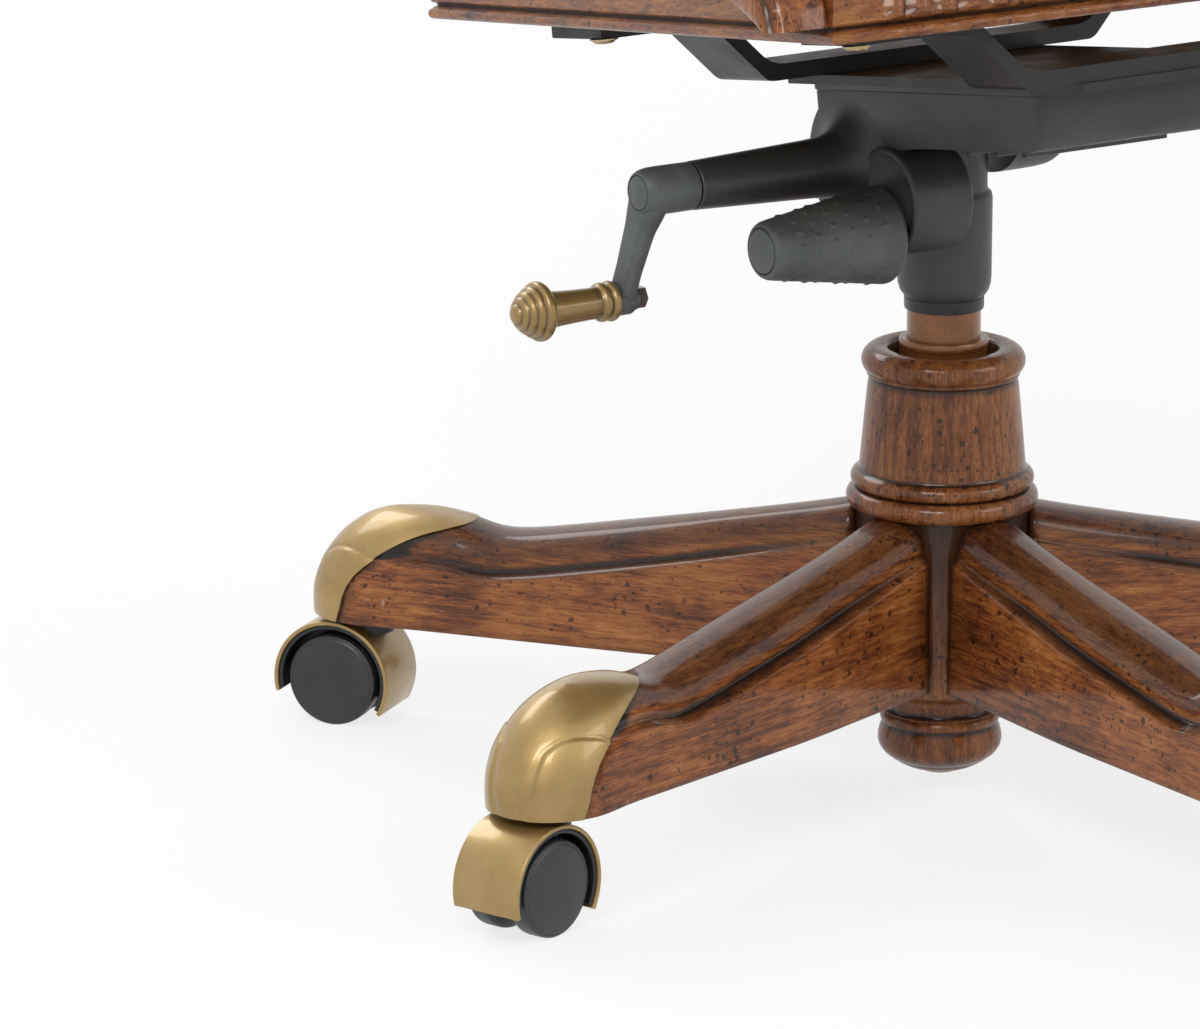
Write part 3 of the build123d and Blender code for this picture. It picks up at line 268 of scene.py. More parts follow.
def antiqueBrass(name, brushed):
    # Cast or rolled brass, browned, rubbed to a satin and lacquered: soft tone changes, fine rubbing lines and
    # clear highlights. Sizes in mm.
    look = {"tone": 22.0, "rub": 0.8}
    finish, tree, shader = newFinish(name, Metallic=0.72, Coat_Weight=0.6, Coat_Roughness=0.12)
    spot = addNode(tree, "Attribute", attribute_name="grainPos", out="Vector")
    tone = addNode(tree, "TexNoise", {"Vector": spot, "Scale": 1 / look["tone"], "Detail": 4, "Roughness": 0.6})
    lines = addNode(tree, "VectorMath", {0: spot, 1: (0.02, 1, 1) if brushed else (0.3, 1, 0.6)},
        operation="MULTIPLY")
    rub = addNode(tree, "TexNoise", {"Vector": lines, "Scale": 1 / look["rub"], "Detail": 3})
    mixed = addNode(tree, "Math", {0: rub, 1: 0.3 if brushed else 0.15, 2: tone}, operation="MULTIPLY_ADD")
    metal = addNode(tree, "ValToRGB", {"Fac": mixed}, ((0.4, "#967a47"), (0.6, "#a0844f"), (0.85, "#aa8e59")))
    rough = addNode(tree, "MapRange", {"Value": mixed, "From Min": 0.4, "From Max": 0.85, "To Min": 0.48,
        "To Max": 0.4})
    bump = addNode(tree, "Bump", {"Height": rub, "Strength": 0.08, "Distance": 0.0003})
    wire(tree, shader, metal, rough, bump, "#3b2c15")
    return finish


def mouldedFinish(name, dark, light, rough, grit, depth, metallic=0.0, coat=0.0):
    # Moulded, cast or painted skin: an even colour with a fine grit, drawn coarse enough to show, and faint
    # handling marks. Sizes in mm.
    look = {"grit": grit, "cloud": 30.0}
    finish, tree, shader = newFinish(name, Metallic=metallic, Coat_Weight=coat, Coat_Roughness=0.25)
    spot = addNode(tree, "TexCoord", out="Object")
    fine = addNode(tree, "TexNoise", {"Vector": spot, "Scale": 1000 / look["grit"], "Detail": 3})
    cloud = addNode(tree, "TexNoise", {"Vector": spot, "Scale": 1000 / look["cloud"], "Detail": 4})
    mixed = addNode(tree, "Math", {0: fine, 1: 0.5, 2: cloud}, operation="MULTIPLY_ADD")
    shade = addNode(tree, "ValToRGB", {"Fac": mixed}, ((0.5, dark), (1.0, light)))
    wear = addNode(tree, "MapRange", {"Value": cloud, "From Min": 0.3, "From Max": 0.7,
        "To Min": rough - 0.07, "To Max": rough + 0.07})
    bump = addNode(tree, "Bump", {"Height": fine, "Strength": 0.3, "Distance": depth * milli})
    wire(tree, shader, shade, wear, bump)
    return finish


def brownLeather():
    # Full-grain cowhide, aniline brown: pebbled grain, drawn coarse enough to show, pulled-up lighter areas and
    # a waxed sheen. Sizes in mm.
    look = {"warp": 5.0, "pebble": 1.9, "cloud": 70.0}
    finish, tree, shader = newFinish("brownLeather", IOR=1.45, Coat_Weight=0.12, Coat_Roughness=0.35,
        Sheen_Weight=0.05)
    spot = addNode(tree, "TexCoord", out="Object")
    warp = addNode(tree, "TexNoise", {"Vector": spot, "Scale": 1000 / look["warp"], "Detail": 2}, out="Color")
    moved = addNode(tree, "VectorMath", {0: warp, 1: (0.0012, 0.0012, 0.0012), 2: spot},
        operation="MULTIPLY_ADD")
    pebble = addNode(tree, "TexVoronoi", {"Vector": moved, "Scale": 1000 / look["pebble"]},
        feature="DISTANCE_TO_EDGE")
    cloud = addNode(tree, "TexNoise", {"Vector": spot, "Scale": 1000 / look["cloud"], "Detail": 5,
        "Roughness": 0.6})
    hide = addNode(tree, "ValToRGB", {"Fac": cloud}, ((0.3, "#2b130b"), (0.52, "#431f12"), (0.72, "#5c2e1a")))
    crack = addNode(tree, "MapRange", {"Value": pebble, "From Min": 0.0, "From Max": 0.12, "To Min": 0.5,
        "To Max": 0.0})
    hide = addNode(tree, "Mix", {0: crack, 6: hide, 7: hexToLinear("#1d0d07")}, data_type="RGBA", out=2)
    rough = addNode(tree, "MapRange", {"Value": cloud, "From Min": 0.3, "From Max": 0.7, "To Min": 0.5,
        "To Max": 0.38})
    bump = addNode(tree, "Bump", {"Height": pebble, "Strength": 0.35, "Distance": 0.0006})
    # the last colour is the dark of the shade painted into creases and round buttons
    wire(tree, shader, hide, rough, bump, "#190a06")
    return finish


walnut = lacqueredWalnut()
castBrass = antiqueBrass("castBrassAntique", False)
rolledBrass = antiqueBrass("rolledBrassBrushed", True)
nylonBlack = mouldedFinish("mouldedNylonBlack", "#0f1112", "#1d2022", 0.42, 0.8, 0.1)
wheelNylon = mouldedFinish("casterWheelNylon", "#1d1f21", "#323637", 0.4, 0.7, 0.08)
castGrey = mouldedFinish("castAluminiumPaintedGrey", "#292c2e", "#404445", 0.46, 1.1, 0.25)
crankGrey = mouldedFinish("castZincGrey", "#3c4042", "#5d6162", 0.52, 0.9, 0.3)
gripRubber = mouldedFinish("mouldedRubberGrip", "#3c4141", "#595e5c", 0.58, 0.9, 0.2)
barSteel = mouldedFinish("flatBarSteelBlack", "#0b0c0c", "#161616", 0.42, 1.5, 0.12)
tubeBronze = mouldedFinish("steelTubeBronzeLacquer", "#6a3c1b", "#96602f", 0.34, 1.2, 0.05, 0.3, 0.3)
brightSteel = mouldedFinish("turnedSteelBright", "#8a8b88", "#b3b3ae", 0.3, 0.9, 0.05, 1.0)
screwNickel = mouldedFinish("nickelScrewWarm", "#a08a63", "#c2b08c", 0.3, 0.9, 0.05, 1.0)
plywood = mouldedFinish("birchPlywoodRaw", "#8c6a42", "#b08a5c", 0.7, 1.4, 0.2)
leather = brownLeather()
print("finishes ready")


# pedestal: legs, toe caps, post, finial
leg = {"bottom": 61.0, "capBottom": 61.4, "half": 31.5, "ledge": 7.5, "proud": 1.1, "noseRound": 38.0,
    "fullness": 2.8, "capHalf": 33.0, "capTop": 121.2, "seamTop": 97.6, "tongue": 264.0}
ridgeLine = np.array([(40, 153), (54, 149.6), (79, 144), (135, 132.8), (192, 122), (222, 116.6),
    (238, 114.4), (250, 114.2), (260, 116), (270, 118.6), (290, 121.2), (309, 121.2), (330, 121.2),
    (360, 121.2)])
# height, station of the nose
frontLine = np.array([(56, 353.6), (63, 354.8), (72, 355.2), (80, 354.4), (89, 351.2), (96, 347.2),
    (103, 341.8), (108, 336.8), (112.5, 330.8), (116, 325), (119, 317.5), (121.2, 309)])
seamLow = np.array([(55, 333.5), (62, 332), (70, 329.5), (76, 328), (82, 325.5), (88, 321.5),
    (93.5, 315.8), (97.6, 310.5)])
petalLine = np.array([(352, 55), (352, 70), (350.6, 80.6), (347.4, 88.4), (343.4, 94.6), (336.4, 99.4),
    (330, 100.8), (322, 100.2), (312, 97), (300, 92)])
petalHub = np.array([324.0, 70.0])
petalTurn = np.arctan2(petalLine[:, 1] - petalHub[1], petalLine[:, 0] - petalHub[0])
petalReach = np.hypot(*(petalLine - petalHub).T)
ridgeFine = curveThrough(ridgeLine, 400)
frontFine = curveThrough(frontLine, 200)


def ridgeAt(r):
    return np.interp(r, *ridgeFine.T)


def capHalf(r, z):  # half width of the bullet-nosed toe at a station and height
    share = np.clip((z - leg["capBottom"]) / (ridgeAt(r) - leg["capBottom"]), 0, 1)
    side = leg["capHalf"] * (1 - share ** leg["fullness"]) ** (1 / leg["fullness"])
    end = np.interp(z, *frontFine.T)
    run = np.clip((r - end + leg["noseRound"]) / leg["noseRound"], 0, 1)
    return side * np.sqrt(1 - run ** 2)


def tongueAt(t):  # the cap's edge over the ridge
    return leg["tongue"] + 46.5 * (np.abs(t) / 29.6) ** 3


def woodHalf(r, z):  # flank, ledge and rounded ridge of the leg
    top = ridgeAt(r)
    groove = top - 18.5 - 3.0 * smooth(230, 300, r)
    half = 26.0 + (leg["half"] - 26.0) * smooth(45, 170, r)
    ledge = leg["ledge"] * (0.55 + 0.45 * smooth(48, 120, r))
    flank = half - 1.6 * np.clip((z - leg["bottom"]) / (groove - leg["bottom"]), 0, 1)
    flank = flank - 2.0 * (1 - np.sqrt(np.clip(1 - (1 - np.clip((z - leg["bottom"]) / 2.0, 0, 1)) ** 2, 0, 1)))
    share = np.clip((z - groove - 1.0) / (top - groove - 1.0), 0, 1)
    ridge = (half - 1.6 - ledge) * (1 - share ** 2.3) ** (1 / 2.3)
    step = smooth(groove - 3.2, groove + 1.2, z)
    wood = flank * (1 - step) + ridge * step
    above = smooth(groove - 8, groove + 10, z)
    blendIn = smooth(246, 306, r) * above + smooth(285, 320, r) * (1 - above)
    nose = np.maximum(capHalf(r, z) - leg["proud"], 0)
    # painted shade in the cove below the ridge, weaker towards the toe and the hub
    kept = (1 - 0.6 * smooth(240, 300, r)) * (0.5 + 0.5 * smooth(50, 120, r))
    dark = np.exp(-((z - groove - 0.4) / 2.6) ** 2) * kept
    return wood * (1 - blendIn) + nose * blendIn, dark


def legAxes(angle):
    return np.array([(math.cos(angle), math.sin(angle), 0), (-math.sin(angle), math.cos(angle), 0)])


def legPlace(angle, r, t, z):
    return placer(np.zeros(3), *legAxes(angle), (0, 0, 1))(r, t, z)


def legMesh(angle):
    stations = np.concatenate([np.linspace(43, 230, 44), np.linspace(234, 342, 34)])
    share = np.concatenate([np.linspace(0, 0.02, 4)[:-1], np.linspace(0.02, 0.5, 14)[:-1],
        np.linspace(0.5, 0.86, 44)[:-1], 1 - 0.14 * np.cos(np.linspace(0, math.pi / 2, 16))])
    rings, dark = [], []
    for r in stations:
        top = ridgeAt(r) - leg["proud"] * smooth(leg["tongue"], leg["tongue"] + 12, r) * 1.4
        if r > 300:
            top = min(top, np.interp(-r, -frontFine[:, 1], frontFine[:, 0]) - 2.5)
        z = leg["bottom"] + share * (top - leg["bottom"])
        t, d = woodHalf(np.full_like(z, r), z)
        t[-1] = 0
        seam = np.interp(z, *seamLow.T)
        near = np.where(z > leg["seamTop"], np.minimum(tongueAt(t), 312), seam)
        # painted shade in the joint at the cap's seam, then darker along the bottom edge and towards the hub
        d = np.maximum(d, np.exp(-np.clip(near - r, 0, 60) / 2.2))
        d = np.maximum(d, 0.5 * np.exp(-(z - leg["bottom"]) / 2.5))
        d = np.maximum(d, 0.6 * np.exp(-(r - 44) / 6.0))
        d = np.maximum(d, 0.58 * smooth(ridgeAt(r) - 17, ridgeAt(r) - 9, z))  # darker along the top of the ridge
        right = legPlace(angle, np.full_like(z, r), t, z)
        left = legPlace(angle, np.full_like(z, r), -t, z)
        rings.append(np.vstack([right, left[-2::-1]]))
        dark.append(np.concatenate([d, d[-2::-1]]))
    return skin(rings), np.concatenate(dark)


def capMesh(angle):
    levels, across = 84, 84
    low = leg["capBottom"]
    sides = []
    for side in (1, -1):
        grid = []
        for share in np.sin(np.linspace(0, math.pi / 2, levels)) ** 0.9:
            edge = leg["capHalf"] * max(1 - share ** leg["fullness"], 0) ** (1 / leg["fullness"])
            high = low + share * (leg["capTop"] - low)
            seam = tongueAt(min(edge, 29.6)) if high > leg["seamTop"] else np.interp(high, *seamLow.T)
            end = np.interp(high, *frontFine.T)
            r = seam + (1 - (1 - np.linspace(0, 1, across)) ** 1.7) * (end - seam)
            z = low + share * (ridgeAt(r) - low)
            t = capHalf(r, z)
            turn = np.arctan2(z - petalHub[1], r - petalHub[0])
            past = np.hypot(r - petalHub[0], z - petalHub[1]) - np.interp(turn, petalTurn, petalReach)
            lift = 0.8 * smooth(0.7, -0.9, past) - 0.5 * np.exp(-((past - 0.7) / 0.8) ** 2)
            ahead = np.sqrt(np.clip(1 - (t / max(edge, 1)) ** 2, 0, 1))  # how much the surface faces forward
            t = (t + lift * np.sqrt(1 - ahead ** 2)) * (share < 1)
            t[-1] = 0
            under = np.maximum(t[:1] - 2.0, 0)  # the edge turns in to the wood
            grid.append(legPlace(angle, np.append(r[:1], r + lift * ahead), side * np.append(under, t),
                np.append(z[:1] - 1.2 * (share > 0.9), z)))
        sides.append(np.array(grid))
    foot = np.vstack([sides[0][0], sides[1][0][-2::-1]])
    return joined(skin(sides[0], False, False), skin(sides[1], False, False), (foot, [tuple(range(len(foot)))]))


for name, angle in zip(legNames, legAngles):
    out, side = legAxes(angle)
    mesh, dark = legMesh(angle)
    newPiece("leg_" + name + "_carved", mesh, walnut, "base", "leg_" + name, 0,
        ((0, 0, 0), out, side, (0, 0, 1)), dark)
    newPiece("toeCap_" + name, capMesh(angle), castBrass, "base", "toe_caps", 60,
        ((0, 0, 0), (0, 0, 1), side, out))


def ringArc(cr, cz, radius, start, end, count=12):
    a = np.radians(np.linspace(start, end, count))
    return [(cr + radius * math.cos(x), cz + radius * math.sin(x)) for x in a]


postLine = [(0, 56), (43, 56), (45, 58), (45, 150.5), (45.6, 151.2)]
postLine += ringArc(44.6, 156.6, 5.8, -74, 74)
postLine += [(45.9, 162.3)] + ringArc(43.5, 166.7, 4.6, -66, 66)
postLine += [(44.6, 171.4), (43.9, 172.3)]
postLine += curveThrough([(43.6, 173.4), (42.1, 190), (40.6, 206), (39.5, 217)], 14).tolist()
postLine += [(39.0, 219.6), (38.7, 220.8), (39.4, 221.4), (40.1, 222.2)]
postLine += ringArc(35.4, 229.4, 7.5, -54, 92, 18) + [(31, 236.6), (29.4, 236.1), (28.6, 234.6),
    (28.5, 213), (23.1, 212.4), (23.1, 60), (0, 60)]
postMarks = ((45.3, 151.0, 2.0), (46.0, 162.2, 1.6), (44.3, 171.8, 1.8), (38.8, 220.8, 2.2), (28.5, 225, 12))


# darkness along a turned or moulded profile: an even base darkening, and painted shade in each groove or bead
# line; on the brass handle the groove darkening is patina
def grooveDark(profile, marks, baseDark=0.26, depth=1.0):  # marks: place on the profile, reach of its dark
    prof = np.asarray(profile)
    dark = np.full(len(prof), baseDark)
    for a, b, reach in marks:
        dark = np.maximum(dark, depth * np.exp(-(np.hypot(prof[:, 0] - a, prof[:, 1] - b) / reach) ** 2))
    return dark


upGrain = ((0, 0, 0), (0, 0, 1), (1, 0, 0), (0, 1, 0))
# the post and the finial carry painted shade in their grooves
newPiece("pedestal_post_turned", turned(postLine, steps=128), walnut, "base", "pedestal_post",
    60, upGrain, np.repeat(grooveDark(postLine, postMarks), 128))
finialLine = [(0, 56.5), (40, 56.5), (40, 55.3), (39.2, 54.2)] + ringArc(38.5, 44.5, 9.6, 92, 178, 10)
finialLine += [(28.6, 42.6), (29.2, 41.6), (30.2, 40.6)] + ringArc(28.2, 36.8, 3.4, 60, -50, 8)
finialLine += [(30.4, 33.6), (31.6, 31.2), (32.5, 27.4), (32.7, 24.2), (31.8, 20.8), (29.4, 17.4),
    (25.2, 14.2), (23.9, 13.9), (23.2, 12.9), (18.4, 10.4), (12.4, 8.3), (10.4, 8.1), (9.7, 7.2),
    (5.6, 6.4), (0, 6.1)]
finialMarks = ((28.6, 42, 2.5), (30.4, 33.8, 1.6), (24.2, 14, 1.5), (10.4, 8.1, 1.2), (38, 55, 2))
newPiece("drop_finial_turned", turned(finialLine), walnut, "base", "drop_finial", 60, upGrain,
    np.repeat(grooveDark(finialLine, finialMarks), 96))
print("pedestal ready")

# casters: brushed hood, black liner with web and collar, two plain wheels
caster = {"stem": 324.0, "trail": 16.0, "axle": 25.0, "hood": 33.0, "wall": 2.2, "width": 42.0,
    "start": -15.0, "sweep": 226.0, "liner": (30.7, 28.4, 39.6), "web": (30.0, 6.0, 9.6)}


def hoodSweep(angle, outer, inner, width, cut, soft, steps=64):  # cut: degrees left off at each end
    loop = roundedBox((outer - inner) / 2, width / 2, soft, 4)
    reach = (outer + inner) / 2 + loop[:, 0]
    rings = []
    for a in np.radians(np.linspace(caster["start"] + cut, caster["start"] + caster["sweep"] - cut, steps)):
        rings.append(legPlace(angle, caster["stem"] + caster["trail"] + reach * math.cos(a), loop[:, 1],
            caster["axle"] + reach * math.sin(a)))
    return skin(rings)


wheelLine = [(0, 7), (21.5, 7), (23.6, 7.4), (24.7, 8.4), (25, 9.8), (25, 17), (24.8, 18.4), (24.3, 19.2),
    (23.7, 19.5), (23.4, 19.5), (23.1, 19.3), (22.8, 19.4), (22.4, 19.8), (21.6, 20.0), (12, 20.3),
    (0, 20.4)]
for name, angle in zip(legNames, legAngles):
    out, side = legAxes(angle)
    stem = out * caster["stem"]
    axle = out * (caster["stem"] + caster["trail"]) + (0, 0, caster["axle"])
    hood = hoodSweep(angle, caster["hood"], caster["hood"] - caster["wall"], caster["width"], 0, 0.6)
    piece = newPiece("casterHood_" + name, hood, rolledBrass, "caster_" + name,
        "caster_hood_" + name, 50)
    around = np.arctan2(hood[0][:, 2] - caster["axle"], hood[0] @ out - caster["stem"] - caster["trail"])
    # rubbed round the hood
    spot = np.stack([around * caster["hood"], hood[0] @ side, 0 * around], -1).astype(np.float32)
    piece.data.attributes["grainPos"].data.foreach_set("vector", spot.ravel())
    liner = hoodSweep(angle, *caster["liner"], 2, 0.6)
    web = hoodSweep(angle, *caster["web"], 3, 0.8)
    boss = turned(drum(9, 6.8, 0.8), axle, side, 48)
    pin = turned(drum(3, 19.4, 0.6), axle, side, 24)
    collar = turned([(0, 30.5), (6.4, 30.5), (6.4, 50), (12, 50.4), (12, 58.6), (11.6, 59.8), (10.8, 60.4),
        (0, 60.4)], stem, (0, 0, 1), 64)
    newPiece("casterFrame_" + name, joined(liner, web, boss, pin, collar), nylonBlack, "caster_" + name,
        "caster_frame_" + name)
    wheels = joined(turned(wheelLine, axle, side, 96), turned(wheelLine, axle, -side, 96))
    newPiece("casterWheels_" + name, wheels, wheelNylon, "wheels_" + name,
        "caster_wheels_" + name, 40)
print("casters ready")

# camera at the photograph's place and angle, floor and lights
view = {"at": (-2.5593, -3.65506, 1.319), "ahead": (0.52244, 0.81378, -0.2546), "lens": 264.03}
camData = bpy.data.cameras.new("camera")
camData.sensor_width = 36.0
camData.lens = view["lens"]
camData.clip_end = 60.0
camera = bpy.data.objects.new("camera", camData)
camera.location = view["at"]
camera.rotation_euler = Vector(view["ahead"]).to_track_quat("-Z", "Y").to_euler()
scene.collection.objects.link(camera)
scene.camera = camera
scene.view_settings.view_transform = "Standard"


def addLamp(name, at, target, size, power):
    data = bpy.data.lights.new(name, "AREA")
    data.shape = "RECTANGLE"
    data.size, data.size_y = size
    data.energy = power
    lamp = bpy.data.objects.new(name, data)
    lamp.location = at
    lamp.rotation_euler = (Vector(target) - Vector(at)).to_track_quat("-Z", "Y").to_euler()
    scene.collection.objects.link(lamp)


def seenDirectly(tree):  # 1 where the camera, a reflection or a clear material looks
    rays = addNode(tree, "LightPath").node.outputs
    seen = addNode(tree, "Math", {0: rays["Is Camera Ray"], 1: rays["Is Glossy Ray"]}, operation="MAXIMUM")
    return addNode(tree, "Math", {0: seen, 1: rays["Is Transmission Ray"]}, operation="MAXIMUM")


studio = {"key": 42.0, "fill": 20.0, "back": 26.0, "ambient": 0.62}
addLamp("keyLamp", (-1.9, -1.7, 2.3), (0, 0, 0.3), (1.4, 1.0), studio["key"])
addLamp("fillLamp", (1.5, -2.4, 1.7), (0, 0, 0.4), (1.6, 1.2), studio["fill"])
addLamp("backLamp", (-0.4, 2.4, 2.2), (0, 0, 0.4), (1.8, 1.0), studio["back"])

world = bpy.data.worlds.new("studio")
scene.world = world
world.use_nodes = True
sky = world.node_tree
level = addNode(sky, "MapRange", {"Value": seenDirectly(sky), "To Min": studio["ambient"], "To Max": 1.0})
sky.nodes["Background"].inputs["Color"].default_value = (1, 1, 1, 1)
sky.links.new(level, sky.nodes["Background"].inputs["Strength"])

floorFinish, floorTree, floorShader = newFinish("paperFloorWhite", Base_Color=hexToLinear("#f4f4f4"),
    Roughness=0.85)
spot = addNode(floorTree, "TexCoord", out="Object")
away = addNode(floorTree, "VectorMath", {0: spot}, operation="LENGTH", out="Value")
fade = addNode(floorTree, "MapRange", {"Value": away, "From Min": 0.5, "From Max": 4.0, "To Min": 0.78,
    "To Max": 1.0})
share = addNode(floorTree, "Math", {0: seenDirectly(floorTree), 1: fade}, operation="MULTIPLY")
glow = addNode(floorTree, "Emission", {"Color": (1, 1, 1, 1), "Strength": 1.0})
pale = addNode(floorTree, "MixShader", {0: share, 1: floorShader.outputs[0], 2: glow})
floorTree.links.new(pale, floorTree.nodes["Material Output"].inputs["Surface"])
floorData = bpy.data.meshes.new("floor")
floorData.from_pydata([(-14, -14, 0), (14, -14, 0), (14, 14, 0), (-14, 14, 0)], [], [(0, 1, 2, 3)])
floorData.materials.append(floorFinish)
floor = bpy.data.objects.new("floor", floorData)
scene.collection.objects.link(floor)
print("studio ready")

# seat frame of reference, raised at the front
tilt = math.radians(9)
seatOrigin = np.array([0, 0, 429.5])
seatBack = np.array([0, math.cos(tilt), -math.sin(tilt)])
seatUp = np.array([0, math.sin(tilt), math.cos(tilt)])
seatGrain = (seatOrigin, seatBack, (1, 0, 0), seatUp)
seatPlace = placer(seatOrigin, (1, 0, 0), seatBack, seatUp)


def roundCorners(points, radius, steps=6):
    pts = np.asarray(points, float)
    radii = radius if hasattr(radius, "__len__") else [radius] * len(pts)
    loop = []
    for i, p in enumerate(pts):
        before, after = pts[i - 1] - p, pts[(i + 1) % len(pts)] - p
        a = p + before / np.linalg.norm(before) * min(radii[i], 0.49 * np.linalg.norm(before))
        b = p + after / np.linalg.norm(after) * min(radii[i], 0.49 * np.linalg.norm(after))
        for t in np.linspace(0, 1, steps):
            loop.append(a * (1 - t) ** 2 + 2 * p * t * (1 - t) + b * t * t)
    return np.array(loop)


def slab(loop, levels, place):  # loop grown or drawn in at each level: (inset, level)
    middle = (loop.max(0) + loop.min(0)) / 2
    half = (loop.max(0) - loop.min(0)) / 2
    return skin([place((loop - middle) * (1 - inset / half) + middle, level) for inset, level in levels])


# mechanism case: two cheeks, a bridge, a rim, a flared horn for the crank and a boss for the lever
crankAxis = np.array([0, 0, 340.7])
handleAxis = np.array([0, 22, 280.5])
case = {"half": 60.0, "slot": 29.5, "rear": 42.0, "front": -158.0, "top": -47.0, "deep": -103.0,
    "shallow": -79.0}
cheekLine = roundCorners([(case["rear"], case["top"]), (case["rear"], case["deep"]), (2, case["deep"]),
    (-20, -82), (-46, case["shallow"]), (case["front"], case["shallow"]), (case["front"], case["top"])],
    [2, 12, 14, 16, 16, 14, 2], 7)
bridgeLine = roundCorners([(-41, case["top"]), (-41, case["shallow"]), (case["front"], case["shallow"]),
    (case["front"], case["top"])], [2, 4, 14, 2], 6)
wallLine = roundCorners([(case["rear"], case["top"]), (case["rear"], -71), (38, -71), (38, case["top"])],
    0.8, 3)


def sidePlace(loop, x):
    return seatPlace(x, loop[:, 0], loop[:, 1])


def levelPlace(loop, z):
    return seatPlace(loop[:, 0], loop[:, 1], z)


cheek = slab(cheekLine, [(0, case["slot"]), (0, 40), (0.2, 52), (0.6, 56.5), (1.2, 58.6), (2.2, 59.6),
    (3.6, case["half"])], sidePlace)
bridge, rearWall = (slab(line, [(0, -29.6), (0, 29.6)], sidePlace) for line in (bridgeLine, wallLine))
rimLoop = roundedBox(61.5, 101.5, 7, 6) + (0, -58)
rim = slab(rimLoop, [(0.8, -50.2), (0, -49.6), (0, -46.9), (0.6, -46.2)], levelPlace)
hornLine = [(0, 157), (10.6, 157), (11.2, 158), (12.1, 158), (12.6, 157.3), (12.7, 155), (13.4, 135),
    (14.3, 110), (15.2, 86), (15.9, 78), (17.2, 72.5), (19.2, 68.3), (22, 64.9), (25.5, 62.4),
    (29.5, 60.8), (34, 59.9), (38, 59.4), (38, 57), (0, 57)]
horn = turned(hornLine, crankAxis, (-1, 0, 0), 96)
bossLine = [(0, 28), (27, 28), (28, 29), (28, 61.6), (27.4, 63), (26, 63.8), (23.6, 64), (23, 63.6), (0, 63.4)]
boss = turned(bossLine, (0, -38, 328), (-1, 0, 0), 72)
ribs = [slab(roundCorners([(y - 1.6, -77), (y - 1.6, -83.5), (y + 1.6, -83.5), (y + 1.6, -77)], 1, 3),
    [(0, -44), (0, 44)], sidePlace) for y in (-70, -95, -120)]
newPiece("mechanism_case_cast", joined(cheek, mirrored(cheek), bridge, rearWall, rim, horn, *ribs),
    castGrey, "seat", "mechanism_case", 32)
newPiece("lever_boss", boss, castGrey, "seat", (), 40)

yokeLine = [(0, 263.2), (19.5, 263.2), (20.6, 263.4), (23.2, 267), (24.3, 270.6), (24.6, 274), (24.8, 316),
    (24.2, 318.6), (22.6, 320), (22, 322), (22, 352), (0, 352)]
yokeHead = turned(drum(14, 24, 1.2), (0, 0, 362), (1, 0, 0), 64)
newPiece("column_yoke_cast", joined(turned(yokeLine), yokeHead), castGrey, "lift",
    "column_yoke", 40)
sealLine = [(19.2, 257), (20.6, 257.2), (20.9, 258), (20.9, 263.4), (19.2, 263.4)]
newPiece("column_seal_ring", turned(sealLine), nylonBlack, "lift", (), 40)
ringLine = [(19.1, 241.2), (21.4, 241.6), (22.9, 241.4), (23.4, 240.6), (23.4, 236.8), (22.9, 236.2),
    (19.1, 236)]
newPiece("column_tube_rim", turned(ringLine), tubeBronze, "base", (), 40)

# crank: knuckle with an inset disc, flattened arm, eye for the handle bolt
knuckleLine = [(0, 158.6), (11.6, 158.6), (12.4, 159.4), (12.5, 178), (12.3, 183.6), (11.6, 187.2),
    (10.6, 189.2), (9.9, 189.9), (9.4, 189.9), (9.1, 188.9), (8.8, 188.9), (8.5, 189.9), (7.6, 190.2),
    (0, 190.7)]
knuckle = turned(knuckleLine, crankAxis, (-1, 0, 0), 72)
armPath = curveThrough([(-181, 0.0, 343), (-182.4, 2.2, 334), (-183.8, 6.6, 322), (-184.8, 13.2, 304),
    (-185.4, 19.0, 288.5), (-185.4, 22.6, 279)], 34)
armRings = []
for i, p in enumerate(armPath):
    t = i / (len(armPath) - 1)
    ahead = armPath[min(i + 1, len(armPath) - 1)] - armPath[max(i - 1, 0)]
    ahead /= np.linalg.norm(ahead)
    wide = np.cross(ahead, (-1.0, 0, 0))
    wide /= np.linalg.norm(wide)
    thick = np.cross(wide, ahead)
    halfWide = np.interp(t, (0, 0.18, 0.34, 0.7, 1), (11.6, 10.8, 8.9, 7.6, 7.6))
    halfThick = np.interp(t, (0, 0.2, 0.4, 0.75, 1), (7.6, 6.4, 5.0, 4.4, 4.6))
    loop = roundedBox(halfThick, halfWide, min(halfThick, halfWide) * 0.72, 6)
    armRings.append(p + loop[:, :1] * thick + loop[:, 1:] * wide)
eyeLine = [(0, 177.4), (5.6, 177.4), (6.4, 178), (6.6, 180.4), (7.7, 181), (8.2, 182), (8.3, 188.8),
    (7.6, 189.8), (0, 189.8)]
eye = turned(eyeLine, handleAxis, (-1, 0, 0), 48)
newPiece("crank_arm_cast", joined(knuckle, skin(armRings), eye), crankGrey, "crank",
    "crank_arm", 38)

